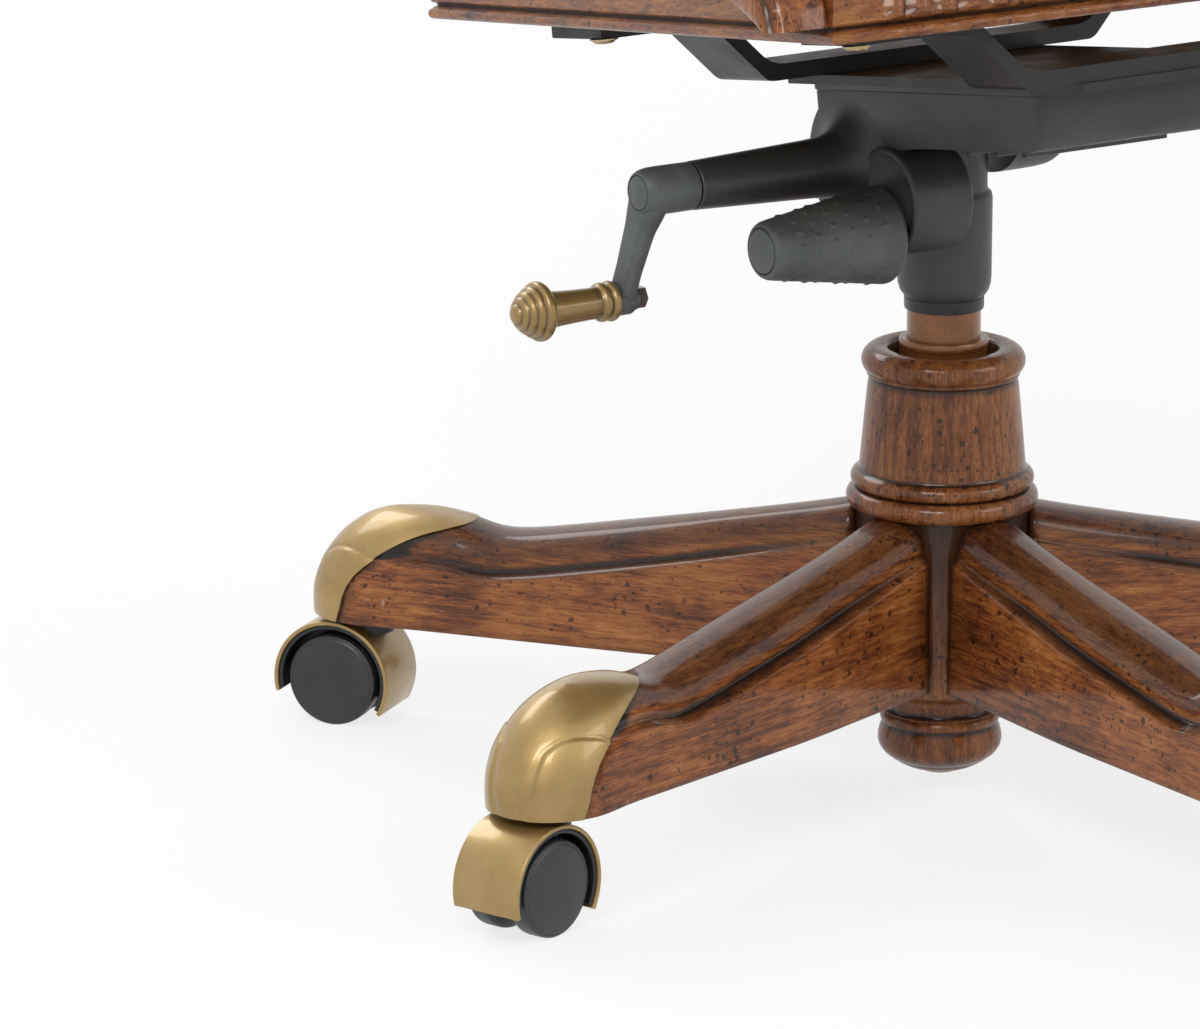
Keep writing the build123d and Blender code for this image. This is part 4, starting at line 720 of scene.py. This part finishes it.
handleLine = [(0, 0.2), (6.2, 0.2), (8.9, 0.4), (10.1, 1.2), (10.6, 2.7), (10.2, 4.3), (9.3, 5.2),
    (8.8, 5.6), (9.2, 6.0), (10.0, 6.8), (10.2, 8.2), (9.8, 9.7), (9.0, 10.6), (8.4, 11.2), (8.2, 12.2),
    (8.3, 16), (8.6, 25), (9.1, 34), (9.7, 40.2), (9.6, 41.2), (9.3, 41.8), (9.8, 42.3), (12.6, 42.6),
    (14.5, 43.2), (15.3, 44.3), (15.5, 45.6), (15.3, 46.9), (14.7, 47.9), (14.0, 48.4), (13.6, 48.6),
    (13.5, 49.0), (13.4, 50.0), (12.9, 51.2), (12.0, 52.1), (11.5, 52.4), (11.3, 52.8), (11.1, 53.8),
    (10.5, 54.8), (9.5, 55.6), (8.9, 55.9), (8.7, 56.3), (8.3, 57.1), (7.4, 57.9), (6.3, 58.4),
    (5.6, 58.5), (5.3, 58.8), (4.9, 59.6), (4.1, 60.3), (2.9, 60.8), (1.5, 61.0), (0, 61.1)]
handleMarks = ((8.8, 5.6, 0.9), (8.3, 11.6, 1.2), (9.3, 41.9, 1.4), (13.5, 48.8, 0.8), (11.4, 52.6, 0.8),
    (8.8, 56.1, 0.8), (5.5, 58.7, 0.7))
newPiece("crank_handle_turned", turned(handleLine, handleAxis - (190.3, 0, 0), (-1, 0, 0), 96), castBrass,
    "handle", "crank_handle", 50, None,
    0.8 * np.repeat(grooveDark(handleLine, handleMarks), 96))

# lever grip: rubber cone with staggered raised thorns and an end plug
grip = {"root": 25.6, "tip": 15.6, "around": 224, "along": 150, "rows": 6, "perRow": 14, "first": 80.0,
    "pitch": 9.4, "height": 0.78, "width": 1.25}
gripAt = np.array([0, -40, 312])
coneLine = [(0, 67), (21.8, 67), (24.2, 67.7), (25.4, 69.6)]
coneLine += [(grip["root"] + (grip["tip"] - grip["root"]) * (x - 70) / 66, x)
    for x in np.linspace(71, 134.5, grip["along"])]
coneLine += [(15.5, 136.4), (15.1, 138.4), (14.3, 140), (13.3, 140.9), (12.5, 141.1), (12.25, 140.8),
    (12.2, 139.7), (11.6, 139.7), (11.55, 141), (11.2, 141.5), (10.4, 141.7), (0, 142)]
coneVerts, coneFaces = turned(coneLine, gripAt, (-1, 0, 0), grip["around"])
coneVerts = coneVerts.reshape(len(coneLine), grip["around"], 3)
reach, along = np.array(coneLine).T[..., None]
turn = np.linspace(0, 2 * math.pi, grip["around"], endpoint=False)
lift = np.zeros((len(coneLine), grip["around"]))
for row in range(grip["rows"]):
    u = along - (grip["first"] + row * grip["pitch"])
    for k in range(grip["perRow"]):
        angle = 2 * math.pi * (k + 0.5 * (row % 2)) / grip["perRow"]
        w = ((turn[None] - angle + math.pi) % (2 * math.pi) - math.pi) * reach
        lift += grip["height"] * np.exp(-(w / grip["width"]) ** 2) * smooth(-3.4, 0.8, u) * smooth(1.5, 0.8, u)
outward = (coneVerts - gripAt) * (0, 1, 1)
outward /= np.maximum(np.linalg.norm(outward, axis=-1, keepdims=True), 1e-6)
coneVerts = coneVerts + outward * lift[..., None]
newPiece("lever_grip_moulded", (coneVerts.reshape(-1, 3), coneFaces), gripRubber, "lever",
    "lever_grip", 45)

# seat bars: flat steel, cranked up from the plate to the underside of the rails, with flat-headed screws
bar = {"half": 23.5, "low": -41.0, "high": -8.5, "thick": 8.45, "bendIn": 99.5, "bendOut": 132.0,
    "end": 201.0, "rear": 42.0, "front": -187.5, "screw": 18.0, "screwOut": 196.0}
screwLine = [(0, -1.2), (2.4, -1.2), (2.5, -2.5), (3.2, -2.6), (5.0, -2.2), (5.9, -1.4), (6.2, -0.8),
    (7.2, -0.7), (7.4, 0), (0, 0)]
screws = [turned(screwLine, seatPlace(side * bar["screwOut"], bar[name] - bar["screw"], bar["high"]),
    seatUp, 36) for side in (-1, 1) for name in ("rear", "front")]
newPiece("seat_screw_heads", joined(*screws), screwNickel, "seat", "seat_screws", 40)
bendUp = [(bar["bendOut"], bar["high"]), (bar["bendIn"], bar["low"])]
barEdge = [(bar["end"], bar["high"] + bar["thick"])] + [(x, z + bar["thick"]) for x, z in bendUp]
barEdge += [(-x, z) for x, z in barEdge[::-1]]
# the bends' lower corners lie further out
underEdge = [(bar["end"], bar["high"])] + [(x + 2.8, z) for x, z in bendUp]
barEdge += [(-x, z) for x, z in underEdge] + underEdge[::-1]
barLoop = roundCorners(barEdge, [1, 8, 8, 8, 8, 1, 1, 4, 4, 4, 4, 1], 6)
barTop, barUnder = barLoop[:len(barLoop) // 2], barLoop[len(barLoop) // 2:][::-1]
barSides = ((barTop, -1), (barTop, 1), (barUnder, 1), (barUnder, -1))
for name in ("rear", "front"):
    edges = [seatPlace(line[:, 0], bar[name] + side * bar["half"], line[:, 1]) for line, side in barSides]
    softenEdges(newPiece("seat_bar_" + name + "_bent", skin(np.stack(edges, 1)), barSteel, "seat",
        "seat_bar_" + name, 40), 0.8, 3, 50)

for node, finish in (("column_tube", tubeBronze), ("lift_cylinder", tubeBronze),
        ("thrust_bearing", brightSteel), ("piston_rod", brightSteel), ("tilt_axle", brightSteel),
        ("tilt_bushes", gripRubber), ("caster_stems", brightSteel), ("crank_shaft", brightSteel),
        ("handle_bolt", brightSteel), ("lever_rod", barSteel), ("seat_deck", plywood),
        ("seat_plate", barSteel)):
    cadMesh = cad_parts[node].data
    cadMesh.materials.clear()
    cadMesh.materials.append(finish)
softenEdges(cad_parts["seat_plate"], 0.7, 2)
print("mechanism ready")

# seat rails: bead, groove and ogee face, mitred at the corners, lobed along the front, with shade painted into
# the groove, the beads and between the lobes
rail = {"front": -286.0, "rear": 181.0, "frontHalf": 262.0, "rearHalf": 200.0, "bow": 20.0, "lobe": 14.0,
    "lobeDepth": 4.0, "steps": 40, "lobeSteps": 320, "baseDark": 0.14, "frontPaintedShade": 0.32}
splay = math.atan2(rail["frontHalf"] - rail["rearHalf"], rail["rear"] - rail["front"])
railLine = [(-36, 0), (-2.6, 0)] + ringArc(-0.2, 2.9, 2.9, -86, 74, 10)
railLine += [(0.1, 6.3), (-1.0, 6.7), (-1.4, 7.4), (-0.9, 8.2), (0.5, 8.7), (1.2, 9.6), (0.7, 11.4),
    (-0.5, 14), (-1.7, 18), (-2.5, 24), (-2.7, 34), (-2.3, 42), (-1.4, 46), (-0.4, 47.2)]
railLine += ringArc(-0.4, 49.6, 2.2, -70, 70, 8)
railLine += [(0, 52.2), (-1.6, 52.8), (-3.2, 54.6), (-4.0, 58), (-4.2, 61.2), (-5, 62), (-36, 62)]
railLoop = np.array(railLine)
# places where shade is painted along the groove, the beads and the bottom edge
railMarks = ((-1.2, 7.3, 2.3), (-1.6, 53, 1.4), (-0.9, 46.8, 1.2), (-3, 0, 2.0))


def seatCorner(out, front, rear=rail["rear"]):  # left corner of the frame, moved outward by a distance
    y = rail["front"] - out if front else rear + out
    return rail["frontHalf"] - (y - rail["front"]) * math.tan(splay) + out / math.cos(splay), y


def sideRun(loop):
    rear, front = (np.array(seatCorner(loop[:, 0], ahead)) for ahead in (False, True))
    return [seatPlace(*((1 - t) * rear + t * front), loop[:, 1]) for t in np.linspace(0, 1, rail["steps"])]


def rearRun(loop):
    x, y = seatCorner(loop[:, 0], False)
    return [seatPlace(s * x, y, loop[:, 1]) for s in np.linspace(-1, 1, rail["steps"])]


def frontRun(loop, count, lobes=True):
    endX, endY = seatCorner(loop[:, 0], True)
    d, h = loop.T
    carved = smooth(8.4, 11, h) * smooth(46, 38, h) * (d > -10) + 0.3 * smooth(6.2, 4, h) * (d > -4)
    rings = []
    for s in np.linspace(-1, 1, count):
        y = endY - rail["bow"] * (1 - s * s)
        edge = smooth(20, 34, (1 - abs(s)) * rail["frontHalf"]) if lobes else 0
        wave = abs(math.sin(math.pi * s * rail["frontHalf"] / rail["lobe"])) ** 0.75
        rings.append(seatPlace(s * endX, y - edge * wave * rail["lobeDepth"] * carved, h))
    return rings


railShade = grooveDark(railLoop, railMarks, rail["baseDark"], 0.9)
for side, name in ((1, "left"), (-1, "right")):
    newPiece("seat_rail_" + name + "_moulded", mirrored(skin(sideRun(railLoop)), side), walnut, "seat",
        "seat_rail_" + name, 50, seatGrain, np.tile(railShade, rail["steps"]))
crossGrain = (seatOrigin, (1, 0, 0), seatBack, seatUp)
newPiece("seat_rail_rear_moulded", skin(rearRun(railLoop)), walnut, "seat", "seat_rail_rear", 50,
    crossGrain, np.tile(railShade, rail["steps"]))
# painted shade in the valleys between the front lobes; the whole front rail is also darkened evenly as painted
# shade
along = np.linspace(-1, 1, rail["lobeSteps"])
lobeWave = np.abs(np.sin(math.pi * along * rail["frontHalf"] / rail["lobe"]))
lobeDark = 0.75 * (1 - smooth(0, 0.4, lobeWave)) * smooth(20, 34, (1 - np.abs(along)) * rail["frontHalf"])
lobeDark = lobeDark[:, None] * smooth(8.4, 10.5, railLoop[:, 1]) * smooth(47, 42, railLoop[:, 1])
frontShade = np.maximum(np.maximum(lobeDark, railShade), rail["frontPaintedShade"])
newPiece("seat_rail_front_carved", skin(frontRun(railLoop, rail["lobeSteps"])), walnut, "seat",
    "seat_rail_front", 50, crossGrain, frontShade)
print("seat rails ready")

# arms: swept support on the rail, scrolled arm, leather pad
armBack = seatBack * math.cos(splay) - np.array([math.sin(splay), 0, 0])
armOut = seatBack * math.sin(splay) + np.array([math.cos(splay), 0, 0])
armOrigin = seatPlace(rail["frontHalf"], rail["front"], 0)
armPlace = placer(armOrigin, armBack, seatUp, armOut)
arm = {"middle": 16.0, "height": 278.0, "start": 30.0, "end": 470.0, "padStart": 118.0, "padLength": 250.0,
    "padHeight": 294.4}
supportFront = curveThrough([(3, 8.6), (12, 29), (52, 62), (97, 168), (74, 262), (68, 270)], 60)
supportRear = curveThrough([(20, 8.6), (60, 26), (99, 62), (143, 168), (134, 262), (132, 270)], 60)
supportRings, supportDark = [], []
for f, b in zip(supportFront, supportRear):
    middle, half = (f + b) / 2, np.linalg.norm(b - f) / 2
    ahead = (b - f) / (2 * half)
    loop = roundCorners([(half, -16), (half, 9), (half - 4.5, 12), (half - 6.5, 15.2), (0, 16.4),
        (-half + 6.5, 15.2), (-half + 4.5, 12), (-half, 9), (-half, -16)],
        [3, 3, 1.2, 3, 12, 3, 1.2, 3, 3], 5)
    supportRings.append(armPlace(middle[0] + loop[:, 0] * ahead[0], middle[1] + loop[:, 0] * ahead[1],
        arm["middle"] + loop[:, 1]))
    # painted shade along the support's moulding grooves
    supportDark.append(0.8 * np.exp(-((np.abs(np.abs(loop[:, 0]) - half + 5.0) / 1.6) ** 2)) * (loop[:, 1] > 8))
supportMesh = skin(supportRings)
armRings, armDark = [], []
for x in np.linspace(arm["start"], arm["end"], 70):
    half = np.interp(x, (20, 70, 150, 300, 470), (26, 26, 24, 19.5, 18))
    drop = np.interp(x, (30, 60, 100, 200, 330, 470), (16, 16.5, 15, 12.5, 13.5, 16))
    loop = roundCorners([(-half, -drop + 6), (-half + 6, -drop), (half - 6, -drop), (half, -drop + 6),
        (half, 6), (half - 3, 10), (half - 5, 16), (-half + 5, 16), (-half + 3, 10), (-half, 6)],
        [4, 4, 4, 4, 2, 1.5, 4, 4, 1.5, 2], 5)
    armRings.append(armPlace(x, arm["height"] + loop[:, 1], arm["middle"] + loop[:, 0]))
    # painted shade along the arm's moulding grooves
    armDark.append(0.7 * np.exp(-((loop[:, 1] - 9.6) / 1.5) ** 2) * (np.abs(loop[:, 0]) > half - 6))
scrollHalf = [(0, 30.0), (4.6, 29.6), (6.4, 28.4), (7.0, 26.6), (8.6, 26.2), (10.4, 27.6), (14.2, 28.0),
    (16.2, 27.0), (17.0, 25.4), (18.6, 25.2), (20.4, 26.2), (22.8, 26.0), (24.4, 24.8), (25, 22.8)]
scrollLine = [(r, -z) for r, z in scrollHalf] + scrollHalf[::-1]
# places where shade is painted into the scroll's grooves
scrollMarks = [(7.4, s * 26.4, 1.6) for s in (1, -1)] + [(17.6, s * 25.3, 1.6) for s in (1, -1)]
scroll = turned(scrollLine, armPlace(42, 269, arm["middle"]), armOut, 72)
armMesh = joined(skin(armRings), scroll)
armShade = np.concatenate([np.concatenate(armDark), np.repeat(grooveDark(scrollLine, scrollMarks), 72)])
padRings = []
for t in np.linspace(0, 1, 40):
    swell = max(1 - abs(2 * t - 1) ** 7, 0) ** (1 / 3.5)
    x = arm["padStart"] + arm["padLength"] * t
    loop = roundCorners([(-20.5, 0), (20.5, 0), (21.8, 7), (17, 17), (0, 20.5), (-17, 17), (-21.8, 7)],
        [2, 2, 5, 8, 14, 8, 5], 6)
    padRings.append(armPlace(x, arm["padHeight"] + loop[:, 1] * (0.25 + 0.75 * swell),
        arm["middle"] + loop[:, 0] * (0.8 + 0.2 * swell)))
padMesh = skin(padRings)
for side, name in ((1, "left"), (-1, "right")):
    foot, lengthwise, outward = (line * (side, 1, 1) for line in (armOrigin, armBack, armOut))
    newPiece("arm_support_" + name + "_carved", mirrored(supportMesh, side), walnut, "seat",
        "arm_support_" + name, 45, (foot, seatUp, lengthwise, outward), np.concatenate(supportDark))
    newPiece("arm_rail_" + name + "_scrolled", mirrored(armMesh, side), walnut, "seat",
        "arm_rail_" + name, 45, (foot, lengthwise, seatUp, outward), armShade)
    pad = newPiece("arm_pad_" + name, mirrored(padMesh, side), leather, "seat", "arm_pads", 0)
    pad.modifiers.new("soft", "SUBSURF").render_levels = 1
print("arms ready")

# back frame of reference: x across, y up the back, z forward
lean = math.radians(17)
backOrigin = np.array([0, 150.0, seatOrigin[2] - 142.05 * math.sin(tilt) + 62 * math.cos(tilt)])
backUp = np.array([0, math.sin(lean), math.cos(lean)])
backOut = np.array([0, -math.cos(lean), math.sin(lean)])
back = {"top": 640.0, "arch": 34.0, "rise": 84.0, "low": 22.0, "lowTop": 70.0, "half": 250.0,
    "openHalf": 206.0, "deep": -40.0}
backPlace = placer(backOrigin, (1, 0, 0), backUp, backOut)


def stileOuter(y):
    return np.interp(y, (-60, 0, 180, 640), (193.3, 204, 236, back["half"]))


def stileInner(y):
    return np.interp(y, (-60, 0, 180, 640), (156.7, 164, 186, back["openHalf"]))


def openingTop(x):
    return back["top"] + back["arch"] * (1 - (np.asarray(x) / back["openHalf"]) ** 2)


stileRings, stileDark = [], []
for y in np.concatenate([[-20], np.linspace(4, 646, 60)]):
    low, high = float(stileInner(y)), float(stileOuter(y))
    loop = roundCorners([(low, back["deep"]), (high, back["deep"]), (high, -4), (high - 3, -1),
        (high - 8, 0.6), (high - 10, -2.4), (high - 13, -1), (low + 12, 1.8), (low + 4, 0.6), (low, -5)],
        [4, 5, 3, 2, 2, 1, 2, 6, 3, 3], 5)
    place = backPlace(loop[:, 0], y, loop[:, 1])
    if y < 0:  # foot cut to the rail's top
        height = (backPlace(loop[:, 0], 0, loop[:, 1]) - seatOrigin) @ seatUp
        place = backPlace(loop[:, 0], (61.4 - height) / (backUp @ seatUp), loop[:, 1])
    stileRings.append(place)
    # painted shade in the stile's moulding groove
    stileDark.append(0.85 * np.exp(-((loop[:, 0] - high + 10.2) / 1.6) ** 2) * (loop[:, 1] > -4))
stileMesh = skin(stileRings)
crestRings, crestDark = [], []
for x in np.linspace(-249, 249, 140):
    low = np.where(abs(x) < back["openHalf"], openingTop(x), back["top"])
    high = 641 + back["rise"] * (1 - (x / back["half"]) ** 2) ** 0.8 + 3.0
    half, middle = (high - low) / 2, (high + low) / 2
    fade = smooth(2, 16, half)
    loop = roundCorners([(-half, back["deep"]), (half, back["deep"]), (half + 0.4, -6), (half - 3, -0.5),
        (half - 7.5 * fade - 1, 1.2), (half - 9.5 * fade - 1.2, -2.2 * fade), (half - 12 * fade - 1.5, 0),
        (0, 2.4 * fade), (-half + 3, 0.6), (-half, -4)], [4, 5, 4, 2, 2, 1, 2, 8, 3, 3], 5)
    crestRings.append(backPlace(x, middle + loop[:, 0], loop[:, 1]))
    # painted shade in the crest rail's moulding groove
    crestDark.append(0.85 * np.exp(-((loop[:, 0] - half + 9.6 * fade + 1.2) / 1.7) ** 2) * (loop[:, 1] > -4))
lowRings = []
low, high = back["low"], back["lowTop"]
for s in np.linspace(-1, 1, 40):
    loop = roundCorners([(low, back["deep"]), (high, back["deep"]), (high, -3), (high - 4, 0.8),
        (low + 4, 0.8), (low, -3)], 3, 5)
    lowRings.append(backPlace(s * (stileInner(loop[:, 0]) + 1.5), loop[:, 0], loop[:, 1]))
backGrain = (backOrigin, backUp, (1, 0, 0), backOut)
for side, name in ((1, "left"), (-1, "right")):
    newPiece("back_stile_" + name + "_moulded", mirrored(stileMesh, side), walnut, "seat",
        "back_stile_" + name, 45, backGrain, np.concatenate(stileDark))
acrossGrain = (backOrigin, (1, 0, 0), backUp, backOut)
newPiece("crest_rail_moulded", skin(crestRings), walnut, "seat", "crest_rail", 45, acrossGrain,
    np.concatenate(crestDark))
newPiece("back_lower_rail_moulded", skin(lowRings), walnut, "seat", "back_lower_rail", 45,
    acrossGrain)

# tufted back: pillows between buttons, folds from button to button and out to the edge
tuft = {"rows": 5, "pitch": 104.0, "rowPitch": 92.0, "first": 150.0, "crown": 40.0, "button": 17.5,
    "pull": 25.0, "valley": 9.0, "valleyReach": 15.0, "crease": 5.5, "creaseReach": 3.2, "low": 70,
    "high": 690, "side": 230}
buttons = []
for row in range(tuft["rows"]):
    count = 3 + row % 2
    for column in range(count):
        x = (column - (count - 1) / 2) * tuft["pitch"]
        buttons.append((x, tuft["first"] + row * tuft["rowPitch"], row))
folds = []
for x0, y0, row0 in buttons:
    for x1, y1, row1 in buttons:
        if row1 == row0 + 1 and abs(x1 - x0) < tuft["pitch"] * 0.6:
            folds.append(((x0, y0), (x1, y1)))
    if row0 == 0:
        folds.append(((x0, y0), (x0, tuft["low"])))
    if row0 == tuft["rows"] - 1:
        folds.append(((x0, y0), (x0, tuft["high"])))
for x, y, row in buttons:
    if row % 2 and abs(x) > 150:
        folds.append(((x, y), (math.copysign(tuft["side"], x), y)))


def segmentGap(x, y, a, b):
    a, b = np.array(a, float), np.array(b, float)
    run = b - a
    t = np.clip(((x - a[0]) * run[0] + (y - a[1]) * run[1]) / (run @ run), 0, 1)
    return np.hypot(x - a[0] - t * run[0], y - a[1] - t * run[1])


def gridEdge(grid):
    return np.concatenate([grid[0], grid[1:, -1], grid[-1, -2::-1], grid[-2:0:-1, 0]])


def stuffed(grid, *depths):  # a face with walls down to the depths and a flat underside
    face, edge = backPlace(*np.moveaxis(grid, -1, 0)), gridEdge(grid)
    walls = [gridEdge(face)] + [backPlace(edge[:, 0], edge[:, 1], depth) for depth in depths]
    return joined(skin(face, False, False), skin(walls, True, False), (walls[-1], [tuple(range(len(edge)))]))


def openingGrid(cols, rows, grow, foot, cut):  # even points in the back's opening
    u, v = np.linspace(-1, 1, cols)[None], np.linspace(0, 1, rows)[:, None]
    y = foot + v * (back["top"] - cut)
    for i in range(3):
        x = u * (stileInner(y) + grow)
        y = foot + v * (openingTop(x) - cut)
    return u, v, x, y


def tuftedBack(cols=240, rows=330):
    u, v, x, y = openingGrid(cols, rows, 0.6, 69.4, 68.8)
    rise = (1 - np.abs(u) ** 4) ** 0.55 * (1 - np.abs(2 * v - 1) ** 6) ** 0.55
    z = 5 + tuft["crown"] * rise
    gap = np.full(x.shape, 1e3)
    for a, b in folds:
        gap = np.minimum(gap, segmentGap(x, y, a, b))
    near = np.full(x.shape, 1e3)
    for bx, by, row in buttons:
        near = np.minimum(near, np.hypot(x - bx, y - by))
    crease = tuft["crease"] * np.exp(-(gap / tuft["creaseReach"]) ** 1.3)
    z = z - rise * (tuft["valley"] * np.exp(-gap / tuft["valleyReach"]) + crease)
    pull = np.exp(-(near / tuft["pull"]) ** 1.5)
    z = z * (1 - pull) + tuft["button"] * pull
    # painted shade along the folds and round the buttons, and on the cushion's side walls
    dark = np.clip(0.75 * np.exp(-(gap / 3.0) ** 2) * rise + 0.8 * np.exp(-(near / 13) ** 2), 0, 0.9)
    grid = np.stack([x, y, z], -1)
    return stuffed(grid, 0, -27), np.concatenate([dark.ravel(), np.full(4 * len(gridEdge(grid)), 0.4)])


tuftMesh, tuftDark = tuftedBack()
backPad = newPiece("back_cushion_tufted", tuftMesh, leather, "seat", "back_cushion", 0,
    None, tuftDark)
buttonLine = [(0, 6.5), (3.5, 6.2), (6.8, 5.0), (9.0, 2.8), (9.9, 0.6), (9.4, -1.2), (0, -2.0)]
covered = [turned(buttonLine, backPlace(x, y, 18.0), backOut, 28) for x, y, row in buttons]
newPiece("back_buttons_covered", joined(*covered), leather, "seat", "back_buttons", 0)


def studRow(points, normal, radius=4.6):  # domed nail heads along a line
    line = [(radius, -0.4), (radius, 0.5), (radius * 0.86, 1.5), (radius * 0.5, 2.4), (0, 2.8)]
    return [turned(line, p, normal, 12) for p in points]


panel = {"face": -33.0, "swell": 7.5, "under": -28.0, "nailHeight": -34.6, "nailPitch": 15.0}
u, v, x, y = openingGrid(50, 60, -1, 71, 72)
swell = (1 - np.abs(u) ** 3) ** 0.6 * (1 - np.abs(2 * v - 1) ** 3.4) ** 0.6
panelGrid = np.stack([x, y, panel["face"] - panel["swell"] * swell], -1)
outsideBack = newPiece("outside_back_panel", stuffed(panelGrid, panel["under"]), leather, "seat",
    "back_panel", 60)
nailLine = gridEdge(panelGrid)[:, :2] * (0.962, 1)
nailLine[:, 1] = 72 + (nailLine[:, 1] - 72) * 0.975 + 7
studs = spaced(np.vstack([nailLine, nailLine[:1]]), pitch=panel["nailPitch"], endpoint=False)
studs = studRow(backPlace(studs[:, 0], studs[:, 1], panel["nailHeight"]), -backOut)
newPiece("outside_back_nails", joined(*studs), castBrass, "seat", (), 40)
print("back ready")

# seat cushion: a boxed leather cushion, swollen by simulation, with welts and a nailed border
cushion = {"rear": 128.0, "voxel": 6.0, "cap": 8.0, "pressure": 4.0}


def cushionOutline(inset, h, count=200):
    fx, front = seatCorner(-inset, True)
    rx, rear = seatCorner(-inset, False, cushion["rear"])
    arcX = np.linspace(-fx, fx, 60)
    arc = np.stack([arcX, front - rail["bow"] * (1 - (arcX / fx) ** 2)], -1)
    corners = np.vstack([arc, np.linspace((fx, front), (rx, rear), 40)[1:],
        np.linspace((rx, rear), (-rx, rear), 40)[1:], np.linspace((-rx, rear), (-fx, front), 40)[1:-1]])
    loop = np.vstack([corners, corners[:1]])
    for i in range(14):  # soften the corners
        loop[1:-1] = (loop[:-2] + 2 * loop[1:-1] + loop[2:]) / 4
        loop[0] = loop[-1] = (loop[-2] + 2 * loop[0] + loop[1]) / 4
    flat = spaced(loop, count, endpoint=False)
    return seatPlace(flat[:, 0], flat[:, 1], h)


def puff(piece, voxel, cap, pressure):  # swell a closed mesh as stuffed leather does
    bpy.context.view_layer.objects.active = piece
    for other in bpy.context.selected_objects:
        other.select_set(False)
    piece.select_set(True)
    remesh = piece.modifiers.new("even", "REMESH")
    remesh.mode = "VOXEL"
    remesh.voxel_size = voxel * milli
    bpy.ops.object.modifier_apply(modifier=remesh.name)
    start = np.array([v.co for v in piece.data.vertices])
    cloth = piece.modifiers.new("cloth", "CLOTH")
    cloth.settings.use_pressure = True
    cloth.settings.uniform_pressure_force = pressure
    cloth.settings.effector_weights.gravity = 0
    cloth.settings.quality = 5
    cloth.settings.mass = 0.3
    scene.frame_start, scene.frame_end = 1, 20
    cloth.point_cache.frame_start, cloth.point_cache.frame_end = 1, 20
    for step in range(1, 21):
        scene.frame_set(step)
    bpy.ops.object.modifier_apply(modifier=cloth.name)
    scene.frame_set(1)
    moved = np.array([v.co for v in piece.data.vertices]) - start
    far = np.linalg.norm(moved, axis=1, keepdims=True)
    limit = cap * milli
    moved *= np.where(far > 1e-9, limit * np.tanh(far / limit) / np.maximum(far, 1e-9), 0)
    piece.data.vertices.foreach_set("co", (start + moved).astype(np.float32).ravel())
    piece.data.update()
    piece.data.shade_smooth()


levels = [(18, 62.6), (9, 64.6), (6.5, 72), (6, 84), (6.5, 96), (9, 103), (16, 109), (32, 114), (64, 119),
    (110, 123), (160, 124.6)]
seatPad = newPiece("seat_cushion_leather", skin([cushionOutline(inset, h) for inset, h in levels]),
    leather, "seat", "seat_cushion", 0)
puff(seatPad, cushion["voxel"], cushion["cap"], cushion["pressure"])
padTree = BVHTree.FromPolygons([v.co for v in seatPad.data.vertices],
    [p.vertices for p in seatPad.data.polygons])
soft = seatPad.modifiers.new("soft", "SUBSURF")
soft.levels = soft.render_levels = 1


def tube(path, radius, sides=10):  # closed cord along a loop of points
    path = np.asarray(path, float)
    ahead = np.roll(path, -1, 0) - np.roll(path, 1, 0)
    ahead /= np.linalg.norm(ahead, axis=1, keepdims=True)
    side = np.cross(ahead, seatUp)
    side /= np.linalg.norm(side, axis=1, keepdims=True)
    up = np.cross(side, ahead)
    turn = np.linspace(0, 2 * math.pi, sides, endpoint=False)[:, None]
    rings = path[:, None] + radius * (np.cos(turn) * side[:, None] + np.sin(turn) * up[:, None])
    return skin(np.vstack([rings, rings[:1]]), True, False)


def weltPath(h, count=420):  # the cord lies where the cushion's side is at this height
    outer, inner = cushionOutline(-30, h, count), cushionOutline(120, h, count)
    path = []
    for a, b in zip(outer, inner):
        hit = padTree.ray_cast(Vector(a * milli), Vector(b - a).normalized())[0]
        path.append(np.array(hit) / milli if hit else (a + b) / 2)
    path = np.array(path)
    for i in range(6):
        path = (np.roll(path, 1, 0) + 2 * path + np.roll(path, -1, 0)) / 4
    return path


welt = {106: 3.4, 69: 3.2}  # radius of the cord at each height
cords = [tube(weltPath(height), radius) for height, radius in welt.items()]
welts = newPiece("seat_cushion_welts", joined(*cords), leather, "seat", (), 0)
borderLoop = np.array([(-7, 54.4), (-2.9, 54.4), (-2.3, 55), (-2.2, 58), (-2.5, 61.4), (-3.4, 62.6),
    (-7, 62.8)])
border = [skin(sideRun(borderLoop)), mirrored(skin(sideRun(borderLoop))),
    skin(frontRun(borderLoop, 80, False)), skin(rearRun(borderLoop))]
newPiece("seat_border_leather", joined(*border), leather, "seat", (), 40)
nail = {"out": -2.3, "height": 58.4, "side": 36, "front": 40, "rear": 31}
sideStart, sideEnd = np.array(seatCorner(nail["out"], False)), np.array(seatCorner(nail["out"], True))
sideNails = [seatPlace(*(sideStart + (sideEnd - sideStart) * t), nail["height"])
    for t in np.linspace(0.012, 0.988, nail["side"])]
frontNails = [seatPlace(s * sideEnd[0], sideEnd[1] - rail["bow"] * (1 - s * s), nail["height"])
    for s in np.linspace(-0.988, 0.988, nail["front"])]
rearNails = [seatPlace(s * sideStart[0], sideStart[1], nail["height"])
    for s in np.linspace(-0.985, 0.985, nail["rear"])]
sideMesh = joined(*studRow(sideNails, armOut))
newPiece("seat_border_nails", joined(sideMesh, mirrored(sideMesh), *studRow(frontNails, -seatBack),
    *studRow(rearNails, seatBack)), castBrass, "seat", (), 40)
print("seat cushion ready")
